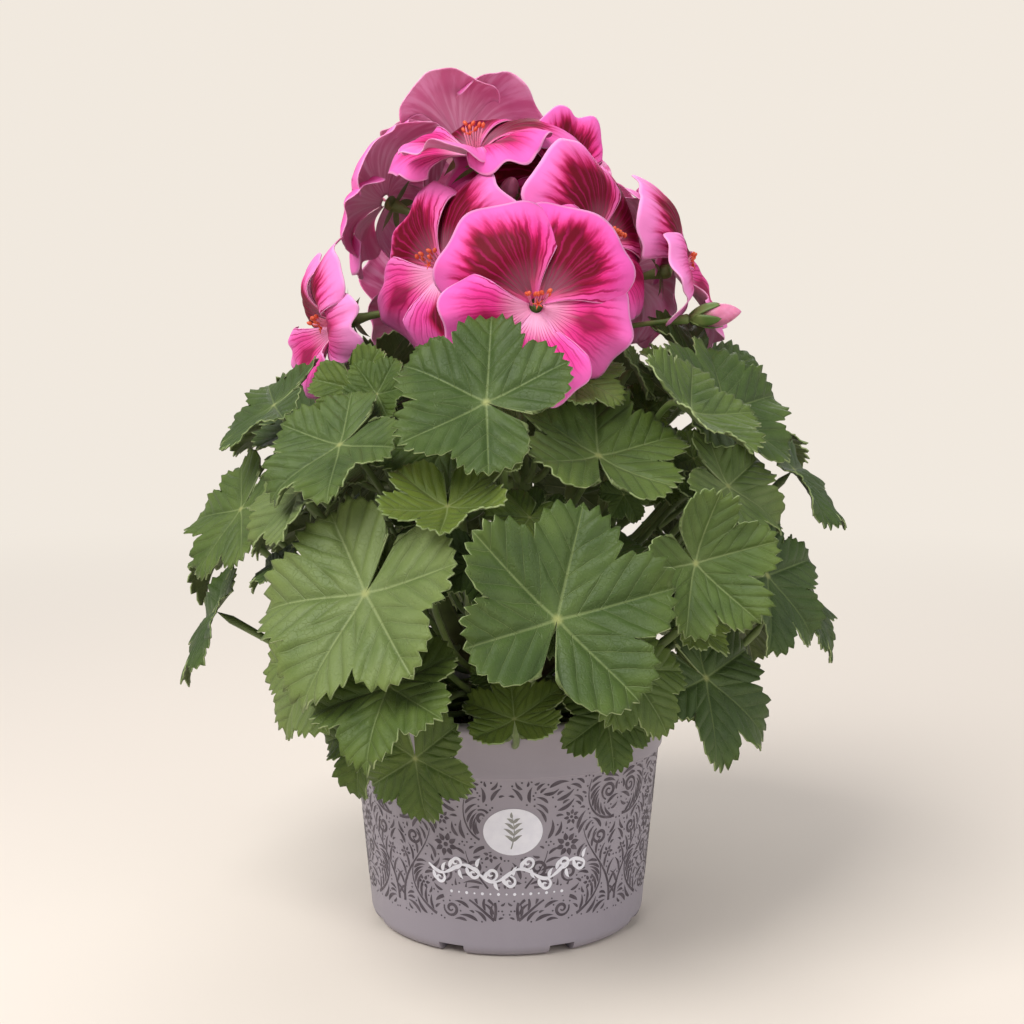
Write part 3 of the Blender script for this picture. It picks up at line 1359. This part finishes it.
# %% [markdown]
# ## Buds
#
# A bud is a closed cone of petals twisted round each other, pink at its tip, half wrapped in green
# sepals. A turned shape with a twisted fold in it gives that.

# %% Buds
def bud_finish():
    finish = Finish("bud_skin", 0.5, Sheen_Weight=0.2, Subsurface_Weight=0.08, Subsurface_Scale=0.002)
    streak = finish.objects().noise(420.0)
    pink = finish.mix(streak, (0.520, 0.060, 0.180), (0.820, 0.330, 0.520))
    finish.paint(
        (0.300, 0.200, 0.110),
        ((finish.attribute("along") + streak * 0.3).step(0.35, 0.75), pink),
    )
    return finish.material


BUD_SKIN = bud_finish()


def build_bud(name):
    middle, heading = bud_pose(name)
    half = BUDS[name][2]
    side = Vector((0.3, 0.9, 0.1)).cross(heading).normalized()
    other = heading.cross(side)

    def shape(u, v):
        a = 2 * math.pi * u
        body = BUD_FATNESS * half * np.sin(math.pi * v ** 1.15) ** 0.75
        radius = body * (1 + 0.16 * np.abs(np.sin(1.5 * a + 3.5 * v)) - 0.10)
        core = np.array(middle) + np.outer((2 * v - 1) * half, heading)
        return core + np.outer(radius * np.cos(a), side) + np.outer(radius * np.sin(a), other)

    mesh = merged(sheet_mesh(name + ".petals", 36, 30, shape, lambda u, v: {"along": v}))
    piece(name + ".petals", mesh, [BUD_SKIN], (name,))
    wraps = []
    for k in range(5):
        turn = Matrix.Rotation(math.radians(72 * k), 3, heading)
        out = turn @ side

        def wrap(u, v, out=out):
            x = (2 * u - 1) * 0.0021 * np.sin(math.pi * (0.25 + 0.75 * v)) ** 0.7
            core = np.array(middle) + np.outer(-half + 1.25 * half * v, heading)
            lift = BUD_FATNESS * half * np.sin(math.pi * (0.625 * v + 0.02)) ** 0.75 * 1.12 + 0.0003
            return core + np.outer(lift - 60 * x * x, out) + np.outer(x, heading.cross(out))

        wraps.append(merged(sheet_mesh("wrap", 4, 9, wrap), out))
    piece(name + ".sepals", joined(name + ".sepals", wraps), [SEPAL_SKIN], thickness=PETAL_SHEET)


for name in BUDS:
    build_bud(name)
print("buds done,", sum(TRIANGLES.values()), "triangles so far")

# %% [markdown]
# ## More leaves
#
# A real plant has more leaves than the forty large ones. Smaller, younger leaves fill the space between
# and below them. Candidates are spread by the golden angle, which never lines up, and each is kept only
# if its blade and its petiole cross nothing that is already there.

# %% Filling the crown
GOLDEN_ANGLE = 137.508
MOST_EXTRAS = 120
EXTRA_TRIES = 2600
EXTRA_GRID = (COLUMNS // 2, 9)
LOWEST_EXTRA = 0.03
BOX_ROOM = 0.003


def extra_leaf(index):
    rng = random.Random(5000 + index)
    azimuth = (index * GOLDEN_ANGLE) % 360 - 180
    height = rng.uniform(0.006, 0.108)
    swell = math.sin(math.pi * min(max((height + 0.03) / 0.16, 0), 1))
    reach = (0.046 + 0.050 * swell) * rng.uniform(0.60, 1.0)
    half = rng.uniform(0.0140, 0.0215) if index < EXTRA_TRIES / 3 else rng.uniform(0.0085, 0.0150)
    turn = rng.uniform(-28, 28)
    elevation = rng.uniform(18, 58)
    roll = rng.choice((0, 0, 0, 180)) + rng.uniform(-50, 50)
    cup = rng.uniform(0.12, 0.32)
    droop = rng.uniform(0.12, 0.30)
    return azimuth, reach, height, turn, elevation, roll, half, cup, droop, rng.uniform(0.25, 0.85)


def petiole_free(hub, normal, lift):
    line = petiole_line(hub, normal, lift)[1:-1]
    shape = tube_shape(line, [PETIOLE_RADIUS] * len(line))
    return crowd.free(shape(*grid_uv(*PETIOLE_COARSE)), *PETIOLE_COARSE)


def inside_box(points):
    low, high = START_BOUNDS
    return (points > np.array(low) - BOX_ROOM).all() and (points < np.array(high) + BOX_ROOM).all()


extras = 0
for index in range(EXTRA_TRIES):
    if extras == MOST_EXTRAS:
        break
    leaf = extra_leaf(index)
    hub, axes = leaf_frame(leaf, (0, 0, 0, 0))
    points = to_frame(leaf_points(*grid_uv(*COARSE), leaf, leaf_style(7000 + index)), hub, axes)
    if points[:, 2].min() < LOWEST_EXTRA or not inside_box(points) or not crowd.free(points, *COARSE):
        continue
    lifts = [lift for lift in PETIOLE_LIFTS if petiole_free(hub, axes[2], lift)]
    if lifts:
        extras += 1
        label = f"leaf_young_{extras:03d}"
        add_leaf(label, leaf, (hub, axes, lifts[0]), 7000 + index, ruffles=(1.0,), grid=EXTRA_GRID)
print(extras, "small leaves,", sum(TRIANGLES.values()), "triangles so far")

# %% [markdown]
# ## The pot
#
# The pot is moulded plastic: a plain collar over a tapered body, with drainage holes and notches in its
# foot. It is turned from the same profile as the CAD's, in many more steps, and cut by the same holes. A
# small bevel rounds the edges. The plastic is matt and even, with faint flow marks.

# %% Profile
def body_radius(height):
    top = POT_HEIGHT - COLLAR_HEIGHT
    share = (height - FOOT_ROUNDING) / (top - FOOT_ROUNDING)
    return BODY_FOOT_RADIUS + share * (COLLAR_FOOT_RADIUS - STEP_WIDTH - BODY_FOOT_RADIUS)


def pot_profile():
    """(radius, height) from the middle of the floor up the inside, over the rim and down to the foot."""
    top = POT_HEIGHT - COLLAR_HEIGHT
    flare = RIM_RADIUS - STEP_WIDTH - COLLAR_FOOT_RADIUS
    floor = FLOOR_LIFT + WALL
    collar = []
    for k in range(9):
        share = k / 8
        drop = RIM_DROP + share * (COLLAR_HEIGHT - RIM_DROP)
        collar.append((COLLAR_FOOT_RADIUS + flare * (1 - share) ** 2, POT_HEIGHT - drop))
    inner_rim = RIM_RADIUS - 2 * STEP_WIDTH - WALL
    inside = [(inner_rim, POT_HEIGHT - 0.5 * WALL)] + [(min(r - WALL, inner_rim), z) for r, z in collar]
    inside.append((COLLAR_FOOT_RADIUS - STEP_WIDTH - WALL, top - STEP_WIDTH))
    inside.append((body_radius(floor) - WALL, floor))
    outer = [(RIM_RADIUS - 2 * STEP_WIDTH, POT_HEIGHT), (RIM_RADIUS - 0.0009, POT_HEIGHT - 0.0002)]
    outer += [(RIM_RADIUS - 0.0003, POT_HEIGHT - 0.0007), (RIM_RADIUS, POT_HEIGHT - 0.0021)]
    outer += [(RIM_RADIUS - 0.0002, POT_HEIGHT - 0.0029)] + collar
    outer += [(COLLAR_FOOT_RADIUS - STEP_WIDTH + 0.0001, top - 0.7 * STEP_WIDTH)]
    outer += [(body_radius(z), z) for z in (top - STEP_WIDTH, 0.045, 0.030, 0.015, FOOT_ROUNDING)]
    for turn in range(10, 91, 10):
        a = math.radians(turn)
        radius = BODY_FOOT_RADIUS - FOOT_ROUNDING * (1 - math.cos(a))
        outer.append((radius, FOOT_ROUNDING * (1 - math.sin(a))))
    ring = BODY_FOOT_RADIUS - FOOT_ROUNDING - FOOT_RING_WIDTH
    return [(0, floor)] + inside[::-1] + outer + [(ring, 0), (ring - WALL, FLOOR_LIFT), (0, FLOOR_LIFT)]


print(len(pot_profile()), "points in the profile of the pot")

# %% Plastic
def plastic_finish():
    finish = Finish("moulded_plastic", 0.42, Specular_IOR_Level=0.4)
    where = finish.objects()
    flow = where.stretched((1.0, 1.0, 0.15)).noise(260.0, 2.0)
    finish.paint(
        (0.318, 0.290, 0.335),
        (where.noise(14.0), (0.356, 0.326, 0.372)),
        (flow * 0.12, (0.240, 0.215, 0.250)),
    )
    finish.rough(0.36 + where.noise(60.0, 4.0) * 0.18)
    finish.bump(where.noise(900.0, 2.0), 0.10, 0.0003)
    return finish.material


PLASTIC = plastic_finish()
print("the plastic has", len(PLASTIC.node_tree.nodes), "nodes")

# %% Turning and cutting
POT_TURNS = 192
NOTCHES = 8
NOTCH_SIZE = (0.0085, 0.020, 0.0072)
DRAINS = 6
DRAIN_RADIUS = 0.0035
DRAIN_REACH = 0.031
DRAIN_DEPTH = 0.0078
EDGE_BEVEL = 0.00025


def turned_pot():
    bm = bmesh.new()
    verts = [bm.verts.new((r, 0, z)) for r, z in pot_profile()]
    edges = [bm.edges.new(pair) for pair in zip(verts, verts[1:])]
    bmesh.ops.spin(bm, geom=verts + edges, cent=(0, 0, 0), axis=(0, 0, 1), dvec=(0, 0, 0),
                   angle=2 * math.pi, steps=POT_TURNS, use_merge=True, use_duplicate=False)
    bmesh.ops.remove_doubles(bm, verts=bm.verts, dist=0.00001)
    bmesh.ops.recalc_face_normals(bm, faces=bm.faces)
    mesh = bpy.data.meshes.new("pot_moulding")
    bm.to_mesh(mesh)
    bm.free()
    return mesh


def cutter_mesh():
    """Blocks for the notches in the foot, and rods for the drain holes in the floor."""
    bm = bmesh.new()
    ring = BODY_FOOT_RADIUS - FOOT_RING_WIDTH / 2
    for k in range(NOTCHES):
        made = bmesh.ops.create_cube(bm, size=1.0)
        bmesh.ops.scale(bm, verts=made["verts"], vec=NOTCH_SIZE)
        bmesh.ops.translate(bm, verts=made["verts"], vec=(0, -ring, 0))
        turn = Matrix.Rotation(math.radians(360 / NOTCHES * (k + 0.5)), 3, "Z")
        bmesh.ops.rotate(bm, verts=made["verts"], cent=(0, 0, 0), matrix=turn)
    for k in range(DRAINS):
        middle = Vector((0, 0, FLOOR_LIFT + WALL / 2))
        made = bmesh.ops.create_cone(bm, cap_ends=True, segments=24, radius1=DRAIN_RADIUS,
                                     radius2=DRAIN_RADIUS, depth=DRAIN_DEPTH)
        place_at = outward(360 / DRAINS * (k + 0.42)) * DRAIN_REACH + middle
        bmesh.ops.translate(bm, verts=made["verts"], vec=place_at)
    mesh = bpy.data.meshes.new("pot_cutter")
    bm.to_mesh(mesh)
    bm.free()
    return mesh


def build_pot():
    pot = bpy.data.objects.new("pot_blank", turned_pot())
    cutter = bpy.data.objects.new("pot_cutter", cutter_mesh())
    for obj in (pot, cutter):
        scene.collection.objects.link(obj)
    cut = pot.modifiers.new("Cut", "BOOLEAN")
    cut.object = cutter
    cut.operation = "DIFFERENCE"
    bpy.context.view_layer.update()
    graph = bpy.context.evaluated_depsgraph_get()
    mesh = bpy.data.meshes.new_from_object(pot.evaluated_get(graph))
    mesh.name = "pot_moulding"
    for obj in (pot, cutter):
        bpy.data.objects.remove(obj)
    mesh.shade_smooth()
    mesh.materials.clear()
    made = piece("pot_moulding", mesh, [PLASTIC], ("pot",))
    bevel = made.modifiers.new("Bevel", "BEVEL")
    bevel.width = EDGE_BEVEL
    bevel.segments = 2
    bevel.limit_method = "ANGLE"
    bevel.angle_limit = math.radians(40)


build_pot()
print("a pot of", TRIANGLES["pot_moulding"], "triangles")

# %% [markdown]
# ## The print on the pot
#
# The body carries a dark scrollwork print: curled stems with comma-shaped leaves, spirals and small
# rosettes, between the plain foot and the plain collar. Ink has no depth, so each stroke is a thin
# ribbon that lies a tenth of a millimetre over the plastic. The strokes are drawn on a flat tile, and
# the tile is laid round the cone, every other time as its mirror image.

# %% Ink
def ink_finish(name, low, high, roughness):
    finish = Finish(name, roughness, Specular_IOR_Level=0.3)
    worn = finish.objects().noise(350.0, 4.0)
    finish.paint(low, (worn.step(0.25, 0.75), high))
    return finish.material


DARK_INK = ink_finish("dark_ink", (0.072, 0.058, 0.072), (0.125, 0.105, 0.125), 0.5)
WHITE_INK = ink_finish("white_ink", (0.80, 0.80, 0.88), (0.86, 0.86, 0.93), 0.4)
GREY_INK = ink_finish("grey_ink", (0.22, 0.22, 0.21), (0.34, 0.34, 0.32), 0.5)
print("inks:", [ink.name for ink in (DARK_INK, WHITE_INK, GREY_INK)])

# %% Strokes on a flat tile, in millimetres
TILES = 8
TILE_WIDTH = 38.9
PRINT_LOW = 12.0
PRINT_HIGH = 59.4
INK_GAP = 0.34
SMALL_DOT = 0.32
# length of the commas that fill the room, from long to short
FILLERS = (6.4, 5.2, 4.2, 3.3, 2.5, 1.8)


class Drawing:
    """Ribbons on a flat sheet, each point as (along the girth, height), later bent round the pot."""

    def __init__(self):
        self.bm = bmesh.new()
        self.ink = np.empty((0, 3))

    def ribbon(self, spine, width, columns=9):
        """A stroke along spine(t) with the half width width(t)."""
        marks = [(*spine(k / columns), width(k / columns)) for k in range(columns + 1)]
        self.ink = np.vstack([self.ink, marks])
        made = bmesh.ops.create_grid(self.bm, x_segments=columns, y_segments=1, size=0.5)
        for vert in made["verts"]:
            t = vert.co.x + 0.5
            before = spine(max(t - 0.01, 0))
            after = spine(min(t + 0.01, 1))
            heading = Vector((after[0] - before[0], after[1] - before[1])).normalized()
            offset = 2 * vert.co.y * width(t)
            here = spine(t)
            vert.co = (here[0] - heading.y * offset, here[1] + heading.x * offset, 0)

    def comma(self, x, y, heading, length, width, bend=0.35, spaced=False):
        """A leaf like a comma: fat near its start, with a fine end. spaced drops it if it has no room."""
        a = math.radians(heading)
        along = Vector((math.cos(a), math.sin(a)))
        side = Vector((-along.y, along.x))
        start = Vector((x, y))
        points = [start, start + along * length * 0.5 + side * bend * length, start + along * length]
        if not spaced or self.room([bezier(points, k / 5) for k in range(6)], width * 0.8):
            self.ribbon(
                lambda t: bezier(points, t),
                lambda t: width * math.sin(math.pi * t ** 0.7) ** 0.9 + 0.02,
            )

    def room(self, points, width):
        """Whether a stroke through these points stays clear of all ink and inside the tile."""
        points = np.array(points)
        if points[:, 0].min() < 0.4 or points[:, 0].max() > TILE_WIDTH - 0.4:
            return False
        if points[:, 1].min() < PRINT_LOW or points[:, 1].max() > PRINT_HIGH:
            return False
        away = np.hypot(points[:, None, 0] - self.ink[:, 0], points[:, None, 1] - self.ink[:, 1])
        return (away - self.ink[:, 2]).min() > width + INK_GAP

    def fill(self, seed):
        """Commas from long to short in whatever room is left, along a swirling direction."""
        rng = random.Random(seed)
        for length in FILLERS:
            for _ in range(620):
                x = rng.uniform(0.5, TILE_WIDTH - 0.5)
                y = rng.uniform(PRINT_LOW, PRINT_HIGH)
                heading = 80 + 75 * math.sin(x * 0.31 + 1.2 * math.sin(y * 0.13)) + rng.uniform(-28, 28)
                bend = rng.choice((-1, 1)) * rng.uniform(0.18, 0.34)
                self.comma(x, y, heading, length, 0.10 * length ** 0.75 + 0.20, bend, spaced=True)
        for _ in range(900):
            x = rng.uniform(0.5, TILE_WIDTH - 0.5)
            y = rng.uniform(PRINT_LOW, PRINT_HIGH)
            if self.room([(x, y)], SMALL_DOT):
                self.dot(x, y, SMALL_DOT)

    def spiral(self, x, y, radius, start, turns, hand=1, width=0.55):
        def spine(t):
            a = math.radians(start) + hand * turns * 2 * math.pi * t
            r = radius * (1 - 0.86 * t)
            return Vector((x + r * math.cos(a), y + r * math.sin(a)))

        self.ribbon(spine, lambda t: width * (0.45 + 0.55 * math.sin(math.pi * min(t * 1.15, 1))), 26)

    def plume(self, points, leaves, length, width, side=1):
        """A curved stem with comma leaves that fan out on one side, longest in the middle."""
        points = [Vector(p) for p in points]
        self.ribbon(lambda t: bezier(points, t), lambda t: 0.42 * (1 - t) + 0.10, 14)
        for k in range(leaves):
            t = 0.06 + 0.90 * k / max(leaves - 1, 1)
            here = bezier(points, t)
            ahead = bezier(points, min(t + 0.02, 1)) - bezier(points, max(t - 0.02, 0))
            heading = math.degrees(math.atan2(ahead.y, ahead.x))
            size = length * (0.55 + 0.45 * math.sin(math.pi * (0.15 + 0.8 * t)))
            off = Vector((-ahead.y, ahead.x)).normalized() * side * 0.55
            self.comma(here.x + off.x, here.y + off.y, heading + side * 52, size, width, -0.26 * side)

    def rosette(self, x, y, radius, petals, turn=0):
        for k in range(petals):
            a = turn + 360 * k / petals
            near = Vector((math.cos(math.radians(a)), math.sin(math.radians(a)))) * radius * 0.34
            self.comma(x + near.x, y + near.y, a, radius * 0.66, radius * 0.20, 0.12)
        self.dot(x, y, radius * 0.20)

    def dot(self, x, y, radius):
        self.ink = np.vstack([self.ink, (x, y, radius)])
        made = bmesh.ops.create_circle(self.bm, cap_ends=True, segments=10, radius=radius)
        bmesh.ops.translate(self.bm, verts=made["verts"], vec=(x, y, 0))

    def mesh(self, name):
        mesh = bpy.data.meshes.new(name)
        self.bm.to_mesh(mesh)
        self.bm.free()
        return mesh


print(TILES, "tiles, each", TILE_WIDTH, "mm wide and", round(PRINT_HIGH - PRINT_LOW, 1), "mm high")

# %% The scroll tile
def scroll_tile():
    """One tile, TILE_WIDTH wide, from the foot band to the collar."""
    d = Drawing()
    d.plume([(4, 13.0), (1, 24), (12, 27), (13, 36)], 9, 6.6, 0.46, side=-1)
    d.plume([(4, 13.0), (9, 17), (15, 24), (22, 21)], 7, 5.6, 0.46, side=1)
    d.plume([(24, 13.5), (31, 17), (36, 24), (31, 31)], 8, 6.2, 0.46, side=1)
    d.plume([(37.5, 15), (38, 27), (27, 32), (25, 42)], 9, 6.0, 0.44, side=-1)
    d.plume([(2, 40), (8, 37), (15, 43), (13, 53)], 8, 6.4, 0.46, side=1)
    d.plume([(37, 44), (30, 43), (24, 49), (27, 58)], 8, 6.0, 0.46, side=-1)
    d.spiral(10.0, 30.5, 3.1, 200, 1.6, 1)
    d.spiral(20.5, 28.0, 2.9, -60, 1.6, -1)
    d.spiral(31.5, 38.5, 2.9, 120, 1.5, 1)
    d.spiral(18.5, 16.0, 2.7, 20, 1.5, -1)
    d.spiral(34.0, 53.0, 3.0, 250, 1.6, -1)
    d.spiral(7.5, 47.5, 2.6, 60, 1.5, 1)
    d.rosette(19.5, 37.5, 4.0, 8, 12)
    d.rosette(5.0, 34.8, 2.4, 6, 20)
    d.rosette(28.5, 23.5, 2.5, 6, 0)
    d.rosette(20.5, 46.5, 2.6, 7, 30)
    d.rosette(35.5, 32.0, 2.2, 6, 0)
    d.fill(11)
    return d.mesh("scroll_tile")


def wrapped(mesh, over):
    """Bends a flat drawing, in millimetres, round the pot's cone at this height over the plastic."""
    points = np.empty(len(mesh.vertices) * 3, np.float32)
    mesh.vertices.foreach_get("co", points)
    x = points.reshape(-1, 3)[:, 0].astype(float)
    z = points.reshape(-1, 3)[:, 1] / 1000.0
    a = x / (TILES * TILE_WIDTH) * 2 * math.pi
    radius = np.array([body_radius(value) for value in z]) + over
    bent = np.stack([radius * np.sin(a), -radius * np.cos(a), z], axis=1)
    mesh.vertices.foreach_set("co", bent.astype(np.float32).ravel())
    bm = bmesh.new()
    bm.from_mesh(mesh)
    for face in bm.faces:
        centre = face.calc_center_median()
        if face.normal.dot(Vector((centre.x, centre.y, 0))) < 0:
            face.normal_flip()
    bm.to_mesh(mesh)
    bm.free()
    mesh.shade_smooth()
    return mesh


CONE_RADII = [round(1000 * body_radius(height / 1000), 1) for height in (PRINT_HIGH, PRINT_LOW)]
print("under the print the pot narrows from a radius of", CONE_RADII[0], "to", CONE_RADII[1], "mm")

# %% The emblem, a plain oval with a sprig
EMBLEM = (2.0, 42.8)
EMBLEM_HALF = (9.2, 7.7)
DOT_ROW = 22.0


def kept_clear(point):
    """Whether a point lies by the emblem, or in the plain strip of the row of dots."""
    x = (point[0] - EMBLEM[0]) / EMBLEM_HALF[0]
    y = (point[1] - EMBLEM[1]) / EMBLEM_HALF[1]
    return math.hypot(x, y) < 1.12 or (abs(point[0]) < 21 and abs(point[1] - DOT_ROW) < 1.5)


def oval_mesh():
    def shape(u, v):
        a = 2 * math.pi * u
        x = EMBLEM[0] + EMBLEM_HALF[0] * v * np.cos(a)
        y = EMBLEM[1] + EMBLEM_HALF[1] * v * np.sin(a)
        return np.stack([x, y, 0 * x], axis=1)

    return merged(sheet_mesh("emblem_oval", 72, 8, shape))


def sprig_mesh():
    d = Drawing()
    x, y = EMBLEM
    spine = [Vector((x - 0.6, y - 5.6)), Vector((x + 1.2, y)), Vector((x - 0.4, y + 5.4))]
    d.ribbon(lambda t: bezier(spine, t), lambda t: 0.20 * (1 - 0.6 * t), 12)
    for rise, length in ((-3.2, 3.4), (-1.2, 3.8), (0.9, 3.4), (2.9, 2.6)):
        d.comma(x + 0.1, y + rise, 38, length, 0.50, 0.20)
        d.comma(x + 0.1, y + rise, 142, length, 0.50, -0.20)
    d.comma(x - 0.35, y + 4.6, 95, 2.0, 0.42, 0.1)
    return d.mesh("emblem_sprig")


def tendril_mesh():
    """A white garland across the front, with curls and small leaves."""
    d = Drawing()

    def spine(t):
        x = -26 + 52 * t
        return Vector((x, 29.6 + 2.2 * math.sin(x * 0.36) - 1.4 * math.cos(x * 0.09)))

    d.ribbon(spine, lambda t: 0.30 + 0.34 * abs(math.sin(9 * math.pi * t)), 90)
    for k in range(9):
        here = spine((k + 0.5) / 9)
        up = 1 if k % 2 else -1
        d.spiral(here.x + 1.0, here.y + up * 2.2, 2.1, -90 * up, 1.15, up, 0.52)
        d.comma(here.x - 1.2, here.y, 60 * up, 4.2, 0.62, 0.3 * up)
        d.comma(here.x + 2.2, here.y, -70 * up, 3.4, 0.58, -0.3 * up)
    for k in range(15):
        d.dot(-18.2 + 2.6 * k, DOT_ROW, 0.34 if k % 2 else 0.52)
    return d.mesh("white_tendril")


print("an oval of", 2 * EMBLEM_HALF[0], "by", 2 * EMBLEM_HALF[1], "mm")

# %% Printing it round the pot
INK_LIFTS = (0.00008, 0.00014, 0.00020)


def clear_of_emblem(mesh):
    """Drops the strokes that would run under the emblem."""
    bm = bmesh.new()
    bm.from_mesh(mesh)
    bm.verts.ensure_lookup_table()
    seen = set()
    doomed = []
    for vert in bm.verts:
        if vert.index in seen:
            continue
        island = [vert]
        seen.add(vert.index)
        for member in island:
            for edge in member.link_edges:
                other = edge.other_vert(member)
                if other.index not in seen:
                    seen.add(other.index)
                    island.append(other)
        hidden = [member for member in island if kept_clear(member.co)]
        doomed += island if len(hidden) > len(island) / 2 else hidden
    bmesh.ops.delete(bm, geom=doomed, context="VERTS")
    bm.to_mesh(mesh)
    bm.free()
    return mesh


def build_print():
    tile = scroll_tile()
    bm = bmesh.new()
    for k in range(TILES):
        start = len(bm.verts)
        bm.from_mesh(tile)
        bm.verts.ensure_lookup_table()
        new = bm.verts[start:]
        if k % 2:
            bmesh.ops.scale(bm, verts=new, vec=(-1, 1, 1))
            bmesh.ops.translate(bm, verts=new, vec=(TILE_WIDTH, 0, 0))
        bmesh.ops.translate(bm, verts=new, vec=((k - TILES / 2) * TILE_WIDTH, 0, 0))
    everywhere = bpy.data.meshes.new("scroll_print")
    bm.to_mesh(everywhere)
    bm.free()
    layers = (
        ("scroll_print", clear_of_emblem(everywhere), 0, DARK_INK),
        ("emblem_oval", oval_mesh(), 1, WHITE_INK),
        ("emblem_sprig", sprig_mesh(), 2, GREY_INK),
        ("white_tendril", tendril_mesh(), 1, WHITE_INK),
    )
    for name, drawing, layer, ink in layers:
        piece(name, wrapped(drawing, INK_LIFTS[layer]), [ink])


build_print()
print("a print of", TRIANGLES["scroll_print"], "triangles")

# %% [markdown]
# ## Compost
#
# Moist peat is dark, crumbly and never flat, with a few white grains of perlite. A finely divided disc,
# raised by a few mixed waves, is the ground, and small rough crumbs lie on it.

# %% Compost
def compost_finish(name, low, high):
    finish = Finish(name, 0.95, Specular_IOR_Level=0.2)
    grain = finish.objects().noise(700.0, 6.0)
    finish.paint(low, (grain.step(0.3, 0.7), high))
    finish.bump(grain, 0.8, 0.0012)
    return finish.material


SOIL_RADIUS = 0.0533
CRUMB_REACH = 0.0515


def build_soil():
    def shape(u, v):
        a = 2 * math.pi * u
        r = SOIL_RADIUS * v
        x = r * np.cos(a)
        y = r * np.sin(a)
        z = SOIL_TOP + 0.0020 * (1 - v ** 2) - 0.0006
        z = z + 0.0005 * np.sin(900 * x + 3 * np.sin(500 * y)) * np.sin(800 * y + 2)
        z = z + 0.0004 * np.sin(2300 * x + 1) * np.sin(2100 * y + 2 * np.sin(1500 * x))
        return np.stack([x, y, z], axis=1)

    mesh = merged(sheet_mesh("compost_top", 120, 36, shape), Vector((0, 0, 1)))
    dark = compost_finish("peat", (0.012, 0.008, 0.005), (0.060, 0.038, 0.022))
    white = compost_finish("perlite", (0.55, 0.53, 0.48), (0.80, 0.78, 0.74))
    piece("compost_top", mesh, [dark], ("potting_soil",))
    rng = random.Random(3)
    for label, count, sizes, material in (
        ("compost_crumbs", 420, (0.0005, 0.0014), dark),
        ("perlite", 46, (0.0006, 0.0013), white),
    ):
        bm = bmesh.new()
        for _ in range(count):
            made = bmesh.ops.create_icosphere(bm, subdivisions=1, radius=rng.uniform(*sizes))
            for vert in made["verts"]:
                vert.co *= rng.uniform(0.7, 1.25)
            where = outward(rng.uniform(0, 360)) * CRUMB_REACH * math.sqrt(rng.uniform(0.01, 1))
            where.z = SOIL_TOP + 0.0018 * (1 - (where.length / SOIL_RADIUS) ** 2)
            bmesh.ops.translate(bm, verts=made["verts"], vec=where)
        grains = bpy.data.meshes.new(label)
        bm.to_mesh(grains)
        bm.free()
        piece(label, grains, [material])


build_soil()
print("compost and crumbs of", TRIANGLES["compost_top"] + TRIANGLES["compost_crumbs"], "triangles")

# %% [markdown]
# ## The last check
#
# The finished plant has to stay in the CAD's box, apart from a few millimetres of ruffle. Both boxes are
# written down so that they can be compared.

# %% Sizes
print("about", sum(TRIANGLES.values()), "triangles in", len(TRIANGLES), "pieces")
print("CAD box", [round(1000 * (b - a), 1) for a, b in zip(*START_BOUNDS)], "mm")
